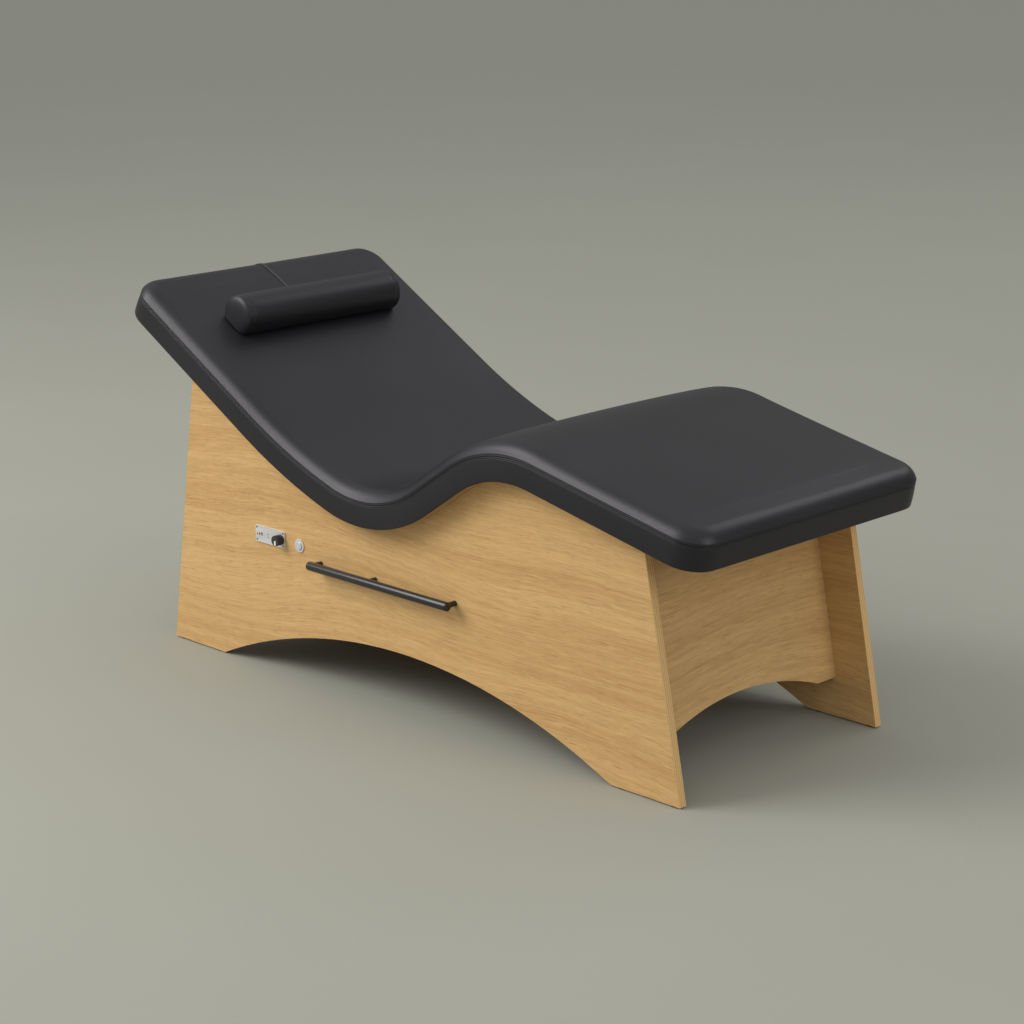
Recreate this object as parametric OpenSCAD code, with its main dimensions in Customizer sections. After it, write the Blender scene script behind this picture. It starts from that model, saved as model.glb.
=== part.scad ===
// Spa relaxation lounger: a wave-shaped upholstered bed on a veneered plywood base,
// with a heating mat, its controls, a side rail and a strapped head bolster.
// X runs from the head end to the foot end, Z is up, and the controls are on the -Y side.
// The origin is on the floor, under the middle of the whole lounger.

/* [Mattress] */
// Width of the mattress
mattress_w = 766; // [700:2:850]
// Height of the upholstery at its edge, square to the wave
edge_h = 86; // [82:1:110]
// Extra height of the crown in the middle
crown_h = 4; // [0:0.5:8]
// Rounding between the top and the side
edge_r = 25; // [15:1:32]
// Rounding of the four corners in plan
corner_r = 66; // [50:1:110]
// Height of the sewn seam above the underside
seam_h = 53; // [40:1:54]
// Thickness of the cover and its backing
cover_t = 2; // [1:0.25:3]
// Width of the hem that turns in under the board
hem_w = 8; // [5:1:20]

/* [Wave] */
// Height of the lowest point of the underside
seat_under_z = 432; // [400:2:480]
// Length of the straight head section
head_len = 498; // [470:1:560]
// Slope of the head section
head_angle = 30; // [26:0.5:34]
// Radius where the back starts to level out
back_r = 1500; // [1200:50:1800]
// Slope where the back meets the seat hollow
back_angle = 18; // [14:0.5:20]
// Radius of the seat hollow, on the underside
seat_r = 370; // [320:5:420]
// Slope of the rise to the knees
rise_angle = 34.3; // [30:0.1:38]
// Length of the straight rise
rise_len = 127; // [110:1:160]
// Radius of the knee crest, on the underside
knee_r = 270; // [240:5:340]
// Slope of the foot section
foot_angle = 11.8; // [9:0.1:15]
// Length of the straight foot section
foot_len = 460; // [440:1:520]

/* [Base] */
// Length of the side panels at their foot
base_l = 1650; // [1560:5:1700]
// Width over the two side panels
base_w = 680; // [620:5:690]
// Thickness of the veneered panels
panel_t = 20; // [18:1:24]
// How far the base stands from the middle towards the foot end
base_offset = 12; // [0:1:40]
// Lean of the side panels' head edge
head_lean = 9; // [6:0.5:12]
// Lean of the side panels' foot edge
foot_lean = 11; // [8:0.5:13]
// Length of the long arch at the floor
arch_l = 1280; // [1100:10:1320]
// Height of the long arch
arch_rise = 144; // [100:2:160]
// Set-back of the end panels from the side panels' edges
end_recess = 95; // [70:5:120]
// Height of the end panels' lower edge
end_clear = 95; // [80:5:110]
// Length of the end panels' arch
end_arch_l = 510; // [420:10:560]
// Height of the end panels' arch above their lower edge
end_arch_rise = 47; // [30:1:60]

/* [Framing] */
// Thickness of the bent bed board
board_t = 12; // [9:1:15]
// Width of the cross battens
batten_w = 45; // [35:1:60]
// Height of the cross battens
batten_h = 28; // [22:1:35]
// Side of the square corner blocks
block_w = 30; // [24:1:40]
// Diameter of the dowels
dowel_d = 8; // [6:1:10]
// Diameter of the floor glides
glide_d = 18; // [12:1:18]
// Thickness of the floor glides
glide_h = 3; // [2:0.5:6]

/* [Rail] */
// Length of the side rail
rail_l = 462; // [380:2:560]
// Diameter of the side rail
rail_d = 21; // [16:0.5:21]
// Distance of the rail's axis from the side panel
rail_out = 30; // [22:1:31]
// Height of the rail's axis
rail_z = 300; // [280:2:306]
// Middle of the rail, measured from the middle of the base
rail_x = -48; // [-80:2:0]
// Diameter of the rail posts
post_d = 13; // [10:1:14]

/* [Controls] */
// Width of the control plate
plate_w = 104; // [102:1:120]
// Height of the control plate
plate_h = 40; // [36:1:50]
// Thickness of the control plate
plate_t = 4; // [3:0.5:5]
// Middle of the control plate, measured from the middle of the base
plate_x = -445; // [-460:1:-440]
// Height of the control plate's middle
controls_z = 332; // [326:1:336]
// Diameter of the heat knob
knob_d = 25; // [22:1:25]
// Length of the heat knob
knob_h = 18; // [13:1:20]
// Distance of the knob from the middle of the plate
knob_from_mid = 39; // [28:1:39]
// Diameter of the push button's bezel
bezel_d = 32; // [27:1:34]
// Diameter of the push button's cap
cap_d = 19; // [15:0.5:19]
// Travel of the push button
button_travel = 2; // [1:0.5:2]
// Middle of the push button, measured from the middle of the base
button_x = -343; // [-350:1:-330]
// How far the push button sits below the plate's middle
button_drop = 3; // [0:0.5:6]

/* [Bolster] */
// Length of the head bolster
bolster_l = 500; // [400:5:540]
// Radius of the head bolster
bolster_r = 50; // [44:1:60]
// Height of the bolster's axis above its flat underside
bolster_axis = 27; // [22:1:32]
// Distance of the bolster's middle from the head end, along the slope
bolster_at = 228; // [200:2:260]
// Width of the elastic strap
strap_w = 8; // [6:1:20]
// Thickness of the elastic strap
strap_t = 1.6; // [1:0.2:3]

/* [Heating] */
// Width of the heating mat
mat_w = 500; // [400:10:560]
// Thickness of the heating mat
mat_t = 3; // [2:0.5:4]
// Distance of the heating mat from each end of the mattress
mat_in = 260; // [220:10:400]
// Diameter of the power cables
cable_d = 7; // [6:0.5:8]

/* [Hidden] */

oak = [0.80, 0.64, 0.41];
beech = [0.84, 0.70, 0.52];
birch = [0.86, 0.76, 0.58];
charcoal = [0.17, 0.17, 0.18];
satin_black = [0.14, 0.14, 0.15];
silver = [0.78, 0.78, 0.77];
zinc = [0.70, 0.71, 0.72];
$fn = 48;

// Shared fits: a cut's overrun, a loose fit, a screw's and a dowel's hole, a shaft's running gap,
// the glue between the bed board and its battens
cut = 1;
gap = 0.3;
hole_gap = 0.1;
run_gap = 0.05;
glue_t = 0.1;

// Floor-plan places of the base
inner_y = base_w / 2 - panel_t;
floor_z = glide_h;
arch_r = (pow(arch_l / 2, 2) + pow(arch_rise, 2)) / (2 * arch_rise);
end_arch_r = (pow(end_arch_l / 2, 2) + pow(end_arch_rise, 2)) / (2 * end_arch_rise);

// The wave: each leg has its length and its heading at its start and end, downhill negative
function arc_length(r, turn) = r * turn * PI / 180;
legs = [
    [head_len, -head_angle, -head_angle],
    [arc_length(back_r, head_angle - back_angle), -head_angle, -back_angle],
    [arc_length(seat_r, back_angle + rise_angle), -back_angle, rise_angle],
    [rise_len, rise_angle, rise_angle],
    [arc_length(knee_r, rise_angle + foot_angle), rise_angle, -foot_angle],
    [foot_len, -foot_angle, -foot_angle]
];
// Straight pieces that stand for each leg between the two end sections
leg_steps = [1, 4, 9, 1, 8, 1];
function leg_turn(leg, t) = leg[1] + (leg[2] - leg[1]) * t / leg[0];
function leg_move(leg, t) = leg[1] == leg[2]
    ? t * [cos(leg[1]), sin(leg[1])]
    : leg[0] / ((leg[2] - leg[1]) * PI / 180)
        * [sin(leg_turn(leg, t)) - sin(leg[1]), cos(leg[1]) - cos(leg_turn(leg, t))];
function run_to(i) = i == 0 ? 0 : run_to(i - 1) + legs[i - 1][0];
function start_of(i) = i == 0 ? [0, 0] : start_of(i - 1) + leg_move(legs[i - 1], legs[i - 1][0]);
leg_runs = [for (i = [0 : len(legs)]) run_to(i)];
leg_starts = [for (i = [0 : len(legs)]) start_of(i)];
wave_l = leg_runs[len(legs)];
function leg_of(s, i = 0) = i >= len(legs) - 1 || s <= leg_runs[i + 1] ? i : leg_of(s, i + 1);
function heading(s) = let (i = leg_of(s), leg = legs[i])
    leg[1] == leg[2] ? leg[1] : leg_turn(leg, s - leg_runs[i]);
function raw(s) = let (i = leg_of(s)) leg_starts[i] + leg_move(legs[i], s - leg_runs[i]);
function above(s, h) = raw(s) + h * [-sin(heading(s)), cos(heading(s))];

// The lowest point of the underside, and the reach of the mattress along X
low_s = leg_runs[2] + arc_length(seat_r, back_angle);
hem_t = 1.5;
strap_out = gap + strap_t;
reach_head = above(-strap_out, -hem_t - strap_out)[0];
reach_foot = above(wave_l, edge_h - edge_r)[0];
wave_shift = [-(reach_head + reach_foot) / 2, seat_under_z - raw(low_s)[1]];
// A point h above the underside, at the length s from the head end
function wave(s, h = 0) = above(s, h) + wave_shift;
// Higher than any panel, so that a cut along the wave trims it
blank_h = wave(0, edge_h)[1];
bend_s = [for (i = [1 : len(legs) - 2]) each
    [for (k = [0 : leg_steps[i] - 1]) leg_runs[i] + legs[i][0] * k / leg_steps[i]], leg_runs[5]];
strip_s = concat([0], bend_s, [wave_l]);
// Turns at the points of a rounded corner
corner_turns = [0, 22.5, 45, 67.5, 90];

module at_wave(s, h = 0) translate([wave(s, h)[0], 0, wave(s, h)[1]])
    rotate([0, -heading(s), 0]) children();
module across(y0, y1) rotate([90, 0, 0]) translate([0, 0, -y1]) linear_extrude(y1 - y0) children();
module both_sides() { children(); mirror([0, 1, 0]) children(); }
module rod_y(x, y0, y1, z, r) translate([x, y1, z]) rotate([90, 0, 0]) cylinder(h = y1 - y0, r = r);

// A strip of the wave between two heights, from the length s0 to s1
module strip(s0, s1, h0, h1, half_w) {
    stations = concat([s0], [for (s = bend_s) if (s > s0 && s < s1) s], [s1]);
    low = [for (s = stations) wave(s, h0)];
    high = [for (i = [len(stations) - 1 : -1 : 0]) wave(stations[i], h1)];
    across(-half_w, half_w) polygon(concat(low, high));
}

// What lies above the wave's underside, to trim the base's panels
module over_wave() {
    edge = [for (s = strip_s) wave(s)];
    top = seat_under_z + blank_h;
    across(-mattress_w, mattress_w)
        polygon(concat(edge, [[wave(wave_l)[0], top], [wave(0)[0], top]]));
}

// The blank outside one rounded corner, with the corner's end edge at the origin
module corner_waste(inset, h) {
    r = corner_r - inset;
    both_sides() translate([inset, mattress_w / 2 - inset, -h]) linear_extrude(2 * h) polygon(concat(
        [[-cut, cut], [-cut, -r]],
        [for (a = corner_turns) [r - r * cos(a), r * sin(a) - r]],
        [[r, cut]]));
}

// A rounded slab that follows the wave, set in from the mattress's outline
module slab(inset, h0, h1) difference() {
    strip(inset, wave_l - inset, h0, h1, mattress_w / 2 - inset);
    at_wave(0) corner_waste(inset, edge_h);
    at_wave(wave_l) mirror([1, 0, 0]) corner_waste(inset, edge_h);
}

// Side panels, with the holes that both of them have
head_foot_x = base_offset - base_l / 2;
foot_foot_x = base_offset + base_l / 2;
module side_blank() difference() {
    across(-base_w / 2, -inner_y) polygon([
        [head_foot_x, floor_z], [foot_foot_x, floor_z],
        [foot_foot_x - tan(foot_lean) * (blank_h - floor_z), blank_h],
        [head_foot_x + tan(head_lean) * (blank_h - floor_z), blank_h]]);
    over_wave();
    rod_arch();
    dowels_near(hole_gap);
    block_screws_near(hole_gap);
    bracket_screws_near(hole_gap);
    glide_nails_near(hole_gap);
}
module rod_arch() translate([base_offset, -inner_y + cut, arch_rise - arch_r]) rotate([90, 0, 0])
    cylinder(r = arch_r, h = panel_t + 2 * cut, $fn = 180);

module side_panel_near() color(oak) difference() {
    side_blank();
    rail_bolts_shape(hole_gap);
    plate_screws_shape(hole_gap);
    rod_y(knob_x, -base_w / 2 - cut, -inner_y + cut, controls_z, switch_d / 2 + switch_room);
    rod_y(button_mid_x, -base_w / 2 - cut, -inner_y + cut, button_z, barrel_d / 2 + gap);
    side_screws(hole_gap);
}
module side_panel_far() color(oak) mirror([0, 1, 0]) side_blank();

// End panels lean like the side panels' edges. side is -1 at the head end and 1 at the foot end
function lean(side) = side < 0 ? head_lean : foot_lean;
function end_x(side, z, depth = 0) = base_offset
    + side * (base_l / 2 - end_recess - tan(lean(side)) * z - depth / cos(lean(side)));
function end_slice(side, z0, z1, d0, d1) = [[end_x(side, z0, d0), z0], [end_x(side, z1, d0), z1],
    [end_x(side, z1, d1), z1], [end_x(side, z0, d1), z0]];
module end_panel(side) difference() {
    across(-inner_y, inner_y) polygon(end_slice(side, end_clear, blank_h, 0, panel_t));
    over_wave();
    translate([base_offset, 0, end_clear + end_arch_rise - end_arch_r]) rotate([0, 90, 0])
        cylinder(r = end_arch_r, h = 2 * base_l, center = true, $fn = 120);
    both_sides() dowels_near(hole_gap);
}
module end_panel_head() color(oak) difference() {
    end_panel(-1);
    at_inlet() translate([-cut, -inlet_w / 2 - gap, -inlet_h / 2 - gap])
        cube([panel_t + 2 * cut, inlet_w + 2 * gap, inlet_h + 2 * gap]);
    inlet_screws_shape(hole_gap);
}
module end_panel_foot() color(oak) end_panel(1);

// Corner blocks behind the end panels
block_head_h = 380;
block_foot_h = 240;
block_z = end_clear + end_arch_rise;
function block_h(side) = side < 0 ? block_head_h : block_foot_h;
module corner_blocks(side) difference() {
    both_sides() across(-inner_y, -inner_y + block_w) polygon(
        end_slice(side, block_z, block_z + block_h(side), panel_t, panel_t + block_w));
    both_sides() block_screws_near(hole_gap);
}
module corner_blocks_head() color(beech) corner_blocks(-1);
module corner_blocks_foot() color(beech) corner_blocks(1);

// Blind dowels between the end panels and the side panels
dowel_side = 12;
dowel_end = 26;
dowel_shares = [0.08, 0.36, 0.64, 0.92];
function dowel_z(side, share) = end_clear + dowel_d + share * (block_h(side) + end_arch_rise);
module dowels_near(grow = 0) for (side = [-1, 1]) for (share = dowel_shares)
    rod_y(end_x(side, dowel_z(side, share), panel_t / 2), -inner_y - dowel_side - grow,
        -inner_y + dowel_end + grow, dowel_z(side, share), dowel_d / 2 + grow);
module frame_dowels() color(beech) both_sides() dowels_near();

// Wood screws: a shank and a countersunk head, with the head's face at the origin, driven along -Z
module wood_screw(d, l, head_d, grow = 0) {
    translate([0, 0, -l - grow]) cylinder(d = d + 2 * grow, h = l + grow, $fn = 24);
    translate([0, 0, -(head_d - d) / 2]) cylinder(d1 = d + 2 * grow, d2 = head_d + 2 * grow,
        h = (head_d - d) / 2 + grow, $fn = 24);
}
block_screw_d = 4;
block_screw_l = 42;
block_screw_head = 8;
block_screw_shares = [0.2, 0.8];
module block_screws_near(grow = 0) for (side = [-1, 1]) for (share = block_screw_shares) {
    z = block_z + share * block_h(side);
    translate([end_x(side, z, panel_t + block_w / 2), -inner_y + block_w, z])
        rotate([-90, 0, 0]) wood_screw(block_screw_d, block_screw_l, block_screw_head, grow);
}
module block_screws() color(zinc) both_sides() block_screws_near();

// Cross battens under the bed board, each carried by a steel angle at both ends
batten_head_share = 0.88;
batten_foot_share = 0.24;
batten_seat_off = 72;
batten_head_s = head_len * batten_head_share;
batten_back_s = leg_runs[1] + legs[1][0] / 2;
batten_seat_s = low_s + batten_seat_off;
batten_rise_s = leg_runs[3] + rise_len / 2;
batten_foot_s = leg_runs[5] + foot_len * batten_foot_share;
batten_list = [batten_head_s, batten_back_s, batten_seat_s, batten_rise_s, batten_foot_s];
module batten(s) color(beech) difference() {
    at_wave(s) translate([-batten_w / 2, -inner_y, -batten_h])
        cube([batten_w, 2 * inner_y, batten_h - glue_t]);
    at_wave(s) board_screws_at(hole_gap);
    at_wave(s) both_sides() bracket_up_screw(hole_gap);
}
module batten_head() batten(batten_head_s);
module batten_back() batten(batten_back_s);
module batten_seat() batten(batten_seat_s);
module batten_rise() batten(batten_rise_s);
module batten_foot() batten(batten_foot_s);

bracket_w = 30;
bracket_l = 32;
bracket_t = 2;
bracket_screw_d = 4;
bracket_screw_l = 14;
bracket_screw_head = 7;
bracket_screw_in = 18;
module bracket_up_screw(grow = 0) translate([0, -inner_y + bracket_screw_in, -batten_h - bracket_t])
    rotate([180, 0, 0]) wood_screw(bracket_screw_d, bracket_screw_l, bracket_screw_head, grow);
module bracket_side_screw(grow = 0)
    translate([0, -inner_y + bracket_t, -batten_h - bracket_screw_in])
    rotate([-90, 0, 0]) wood_screw(bracket_screw_d, bracket_screw_l, bracket_screw_head, grow);
module bracket_screws_near(grow = 0) for (s = batten_list) at_wave(s) {
    bracket_up_screw(grow);
    bracket_side_screw(grow);
}
module bracket() difference() {
    translate([-bracket_w / 2, -inner_y, -batten_h - bracket_l])
        cube([bracket_w, bracket_l, bracket_l]);
    translate([-bracket_w / 2 - cut, -inner_y + bracket_t, -batten_h - bracket_l - cut])
        cube([bracket_w + 2 * cut, bracket_l, bracket_l + cut - bracket_t]);
    bracket_up_screw(hole_gap);
    bracket_side_screw(hole_gap);
}
module batten_brackets() color(zinc) for (s = batten_list) at_wave(s) both_sides() bracket();
module bracket_screws() color(zinc) both_sides() bracket_screws_near();

board_screw_d = 5;
board_screw_head = 9;
board_screw_bite = 8;
board_screw_share = 0.3;
board_screw_y = mattress_w * board_screw_share;
module board_screws_at(grow = 0) for (y = [-board_screw_y, 0, board_screw_y])
    translate([0, y, -batten_h]) rotate([180, 0, 0])
        wood_screw(board_screw_d, batten_h + board_screw_bite, board_screw_head, grow);
module board_screws_shape(grow = 0) for (s = batten_list) at_wave(s) board_screws_at(grow);
module board_screws() color(zinc) board_screws_shape();

// Floor glides, two under each foot of the side panels, each nailed on
glide_nail_d = 2.5;
glide_nail_l = 16;
glide_nail_head = 1;
glide_end_in = 22;
glide_x = [head_foot_x + glide_end_in, base_offset - arch_l / 2 - glide_end_in,
    base_offset + arch_l / 2 + glide_end_in, foot_foot_x - glide_end_in];
module glide_nails_near(grow = 0) for (x = glide_x) translate([x, -inner_y - panel_t / 2, 0]) {
    translate([0, 0, glide_nail_head])
        cylinder(d = glide_nail_d + 2 * grow, h = glide_h + glide_nail_l + grow, $fn = 24);
    translate([0, 0, glide_nail_head]) cylinder(d = 2 * glide_nail_d + 2 * grow,
        h = glide_nail_head + grow, $fn = 24);
}
module glides() color(satin_black) difference() {
    both_sides() for (x = glide_x) translate([x, -inner_y - panel_t / 2, 0])
        cylinder(d = glide_d, h = glide_h);
    both_sides() glide_nails_near(hole_gap);
}
module glide_nails() color(zinc) both_sides() glide_nails_near();

// Bed board, foam and heating mat
board_in = cover_t + gap;
foam_under_seam = 3;
foam_split_h = seam_h - foam_under_seam;
cable_hole_y = -mat_w / 2 + 4 * cable_d;
cable_hole_gap = 2;
cable_hole_d = cable_d + 2 * cable_hole_gap;
module cable_shaft() translate([wave(low_s)[0], cable_hole_y, seat_under_z - edge_h])
    cylinder(d = cable_hole_d, h = 2 * edge_h);
module bed_board() color(birch) difference() {
    slab(board_in, 0, board_t);
    board_screws_shape(hole_gap);
    cable_shaft();
    strap_stud_shape(hole_gap);
}
mat_low = foam_split_h - mat_t - gap / 2;
module foam_base() color("khaki") difference() {
    slab(board_in, board_t + gap, foam_split_h);
    strip(mat_in - gap, wave_l - mat_in + gap, mat_low - gap / 2, foam_split_h + cut, mat_w / 2 + gap);
    cable_shaft();
}
module heating_mat() color("orangered")
    strip(mat_in, wave_l - mat_in, mat_low, mat_low + mat_t, mat_w / 2);

// The upholstery's section: insets from the outline and heights, c inside the cover's face
round_steps = 3;
crown_at = [80, 160];
crown_shares = [0.6, 1];
function pad_section(c, h0) = concat([[c, h0], [c, edge_h - edge_r]],
    [for (k = [1 : round_steps]) let (a = 90 * k / round_steps)
        [edge_r - (edge_r - c) * cos(a), edge_h - edge_r + (edge_r - c) * sin(a)]],
    [for (i = [0, 1]) [crown_at[i], edge_h + crown_h * crown_shares[i] - c]]);

// One ring: half an outline from the head's middle along the near side to the foot's middle,
// then its mirror image back
end_shares = [0.3, 0.7];
side_shares = [0.25, 0.5, 0.75];
least_corner_share = 0.3;
function ring_r(d) = max(corner_r - d, corner_r * least_corner_share);
function half_outline(d) = let (r = ring_r(d), y = mattress_w / 2 - d - r, s1 = wave_l - d)
    concat(
        [for (k = end_shares) [d, -y * k]],
        [for (a = corner_turns) [d + r - r * cos(a), -y - r * sin(a)]],
        [for (k = side_shares) [(d + r) * (1 - k) + bend_s[0] * k, -y - r]],
        [for (s = bend_s) [s, -y - r]],
        [for (k = side_shares) [leg_runs[5] * (1 - k) + (s1 - r) * k, -y - r]],
        [for (i = [len(corner_turns) - 1 : -1 : 0]) let (a = corner_turns[i])
            [s1 - r + r * cos(a), -y - r * sin(a)]],
        [for (i = [1, 0]) [s1, -y * end_shares[i]]]);
function lift(p, h) = let (w = wave(p[0], h)) [w[0], p[1], w[1]];
function ring(d, h) = let (half = half_outline(d), n = len(half)) concat(
    [for (p = half) lift(p, h)],
    [for (i = [n - 1 : -1 : 0]) lift([half[i][0], -half[i][1]], h)]);
ring_n = 2 * len(half_outline(0));

// Triangles between neighbouring rings of n points, and across a ring from its near to its far half
function wall(i, j, n) = [for (k = [0 : n - 1]) let (m = (k + 1) % n)
    each [[i * n + k, j * n + k, j * n + m], [i * n + k, j * n + m, i * n + m]]];
// The end edges of a lid are fans, because their points lie on one line
function lid(i, n, flip) = let (e = len(end_shares), half = n / 2, q = half - 2 - e,
    head = concat([for (k = [n - 2 - e : n - 1]) k], [for (k = [0 : e]) k]),
    foot = [for (k = [q + 1 : half + e + 1]) k],
    faces = concat(
        [for (k = [0 : len(head) - 2]) [e + 1, head[k], head[k + 1]]],
        [for (k = [0 : len(foot) - 2]) [q, foot[k], foot[k + 1]]],
        [for (k = [e + 1 : q - 1]) each [[k, k + 1, n - 2 - k], [k, n - 2 - k, n - 1 - k]]]))
    [for (f = faces) let (g = flip ? [f[0], f[2], f[1]] : f) [for (v = g) i * n + v]];
module ring_skin(section, closed = false) {
    n = ring_n;
    m = len(section);
    polyhedron(points = [for (p = section) each ring(p[0], p[1])],
        faces = closed
            ? [for (i = [0 : m - 1]) each wall(i, (i + 1) % m, n)]
            : concat([for (i = [0 : m - 2]) each wall(i, i + 1, n)],
                lid(0, n, false), lid(m - 1, n, true)));
}
function reversed(v) = [for (i = [len(v) - 1 : -1 : 0]) v[i]];

module foam_top() color("lightyellow") ring_skin(pad_section(cover_t + gap, foam_split_h + gap));
module cover_top() color(charcoal) ring_skin(concat(
    reversed(pad_section(cover_t, seam_h)), pad_section(0, seam_h)));
module cover_band() color(charcoal) ring_skin([
    [0, -hem_t], [0, seam_h - gap], [cover_t, seam_h - gap],
    [cover_t, -gap / 2], [hem_w, -gap / 2], [hem_w, -hem_t]], closed = true);

// Head bolster: a roll with softened ends and a flat underside, its cover and its end piping
bolster_h = edge_h + crown_h + gap;
bolster_end_r = 12;
bolster_swell = 1.5;
piping_d = 4;
function roll_section(c) = let (l = bolster_l / 2 - c, r = bolster_r - bolster_swell - c, e = bolster_end_r - c)
    concat([[0, -l]],
        [for (a = [0 : 30 : 90]) [r - e + e * sin(a), -l + e - e * cos(a)]],
        [[r + bolster_swell, 0]],
        [for (a = [90 : -30 : 0]) [r - e + e * sin(a), l - e + e * cos(a)]],
        [[0, l]]);
// What lies above a plane at the height c over the bolster's underside
module over_flat(c) translate([-2 * bolster_r, -bolster_l, c]) cube([4 * bolster_r, 2 * bolster_l, 4 * bolster_r]);
module at_axis() translate([0, 0, bolster_axis]) rotate([90, 0, 0]) children();
// A roll along Y with its underside cut flat, c inside the cover's face
module roll(c) intersection() {
    at_axis() rotate_extrude($fn = 72) polygon(roll_section(c));
    over_flat(c);
}
module at_bolster() at_wave(bolster_at, bolster_h) children();
module bolster_foam() color("lightyellow") at_bolster() roll(cover_t + gap);
module bolster_cover() color(charcoal) at_bolster() difference() {
    roll(0);
    piping_rings(gap / 2);
    roll(cover_t);
}
module piping_rings(grow = 0) intersection() {
    at_axis() for (i = [-1, 1]) translate([0, 0, i * (bolster_l / 2 - bolster_end_r)])
        rotate_extrude($fn = 72) translate([bolster_r - bolster_swell + piping_d / 4, 0])
        circle(d = piping_d / 2 + 2 * grow, $fn = 16);
    over_flat(-grow);
}
module bolster_piping() color(charcoal) at_bolster() piping_rings();

// The strap follows the upholstery's face from the bolster over the head end to its stud
strap_under = 46;
stud_d = 12;
stud_t = 2.5;
stud_pin_d = 4;
stud_pin_l = 8;
// Half the bolster's width at the height of the strap
bolster_foot = sqrt(pow(bolster_r, 2) - pow(bolster_axis - strap_t, 2));
strap_from = bolster_at - bolster_foot - gap;
function pad_top(s) = lookup(s, [[edge_r, edge_h],
    for (i = [0, 1]) [crown_at[i], edge_h + crown_h * crown_shares[i]]]);
function strap_side(h) = concat(
    [wave(strap_from, pad_top(strap_from) + h)],
    [for (i = [1, 0]) if (crown_at[i] < strap_from) wave(crown_at[i], pad_top(crown_at[i]) + h)],
    [for (a = [90 : -15 : 0]) wave(edge_r - (edge_r + h) * cos(a),
        edge_h - edge_r + (edge_r + h) * sin(a))],
    [wave(-h, -hem_t - h), wave(strap_under, -hem_t - h)]);
module bolster_strap() color(charcoal) difference() {
    across(-strap_w / 2, strap_w / 2)
        polygon(concat(strap_side(gap), reversed(strap_side(strap_out))));
    strap_stud_shape(hole_gap);
}
stud_s = strap_under - stud_d / 2;
module strap_stud_shape(grow = 0) at_wave(stud_s) {
    translate([0, 0, -hem_t - strap_out - stud_t - grow]) cylinder(d = stud_d + 2 * grow, h = stud_t + grow);
    translate([0, 0, -hem_t - strap_out - stud_t]) cylinder(d = stud_pin_d + 2 * grow,
        h = hem_t + strap_out + stud_t + stud_pin_l + grow);
}
module strap_stud() color(zinc) strap_stud_shape();

// Side rail, its posts and the bolts that hold them from inside the panel
rail_mid_x = base_offset + rail_x;
rail_y = -base_w / 2 - rail_out;
rail_end_r = 4;
post_in = 10;
// The middle post stands a little towards the head end
post_off_mid = 36;
rail_bolt_d = 6;
rail_bolt_bite = 10;
rail_bolt_head_d = 12;
rail_bolt_head_t = 4;
post_xs = [rail_mid_x - rail_l / 2 + post_in, rail_mid_x - post_off_mid, rail_mid_x + rail_l / 2 - post_in];
module rail_bar() color(satin_black) translate([rail_mid_x, rail_y, rail_z]) rotate([0, 90, 0])
    rotate_extrude() polygon(concat([[0, -rail_l / 2]],
        [for (a = [0 : 15 : 90]) [rail_d / 2 - rail_end_r * (1 - sin(a)),
            -rail_l / 2 + rail_end_r * (1 - cos(a))]],
        [for (a = [90 : -15 : 0]) [rail_d / 2 - rail_end_r * (1 - sin(a)),
            rail_l / 2 - rail_end_r * (1 - cos(a))]],
        [[0, rail_l / 2]]));
module rail_posts() color(satin_black) difference() {
    for (x = post_xs) rod_y(x, rail_y, -base_w / 2, rail_z, post_d / 2);
    translate([rail_mid_x - rail_l, rail_y, rail_z]) rotate([0, 90, 0]) cylinder(d = rail_d, h = 2 * rail_l);
    rail_bolts_shape(hole_gap);
}
module rail_bolts_shape(grow = 0) for (x = post_xs) {
    rod_y(x, -base_w / 2 - rail_bolt_bite - grow, -inner_y, rail_z, rail_bolt_d / 2 + grow);
    rod_y(x, -inner_y, -inner_y + rail_bolt_head_t, rail_z, rail_bolt_head_d / 2);
}
module rail_bolts() color(zinc) rail_bolts_shape();

// Control plate over a bore in the panel, with the heat switch hung from it
plate_mid_x = base_offset + plate_x;
plate_y = -base_w / 2 - plate_t;
plate_corner_r = 2;
plate_screw_d = 3;
plate_screw_l = 14;
plate_screw_head = 5.6;
plate_screw_in = 5;
knob_x = plate_mid_x + knob_from_mid;
shaft_d = 6;
bushing_d = 9;
switch_d = 22;
switch_t = 17;
switch_room = 1.5;
nut_t = 2;
nut_d = 15;
knob_recess_d = 18;
knob_off = 0.5;
knob_wall = 4;
flute_count = 18;
flute_d = 1.6;
module plate_screws_shape(grow = 0) for (i = [-1, 1]) for (j = [-1, 1])
    translate([plate_mid_x + i * (plate_w / 2 - plate_screw_in), plate_y,
        controls_z + j * (plate_h / 2 - plate_screw_in)])
    rotate([90, 0, 0]) wood_screw(plate_screw_d, plate_screw_l, plate_screw_head, grow);
module control_plate() color(silver) difference() {
    translate([plate_mid_x, -base_w / 2, controls_z]) rotate([90, 0, 0]) linear_extrude(plate_t)
        difference() {
            square([plate_w, plate_h], center = true);
            for (i = [-1, 1]) for (j = [-1, 1])
                translate([i * (plate_w / 2 - plate_corner_r), j * (plate_h / 2 - plate_corner_r)])
                difference() {
                    translate([i < 0 ? -plate_corner_r - cut : 0, j < 0 ? -plate_corner_r - cut : 0])
                        square(plate_corner_r + cut);
                    circle(r = plate_corner_r);
                }
        }
    plate_screws_shape(hole_gap);
    rod_y(knob_x, plate_y - cut, -base_w / 2 + cut, controls_z, bushing_d / 2 + hole_gap);
}
module plate_screws() color(zinc) plate_screws_shape();
bushing_y = plate_y - nut_t;
switch_face_y = -base_w / 2;
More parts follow.
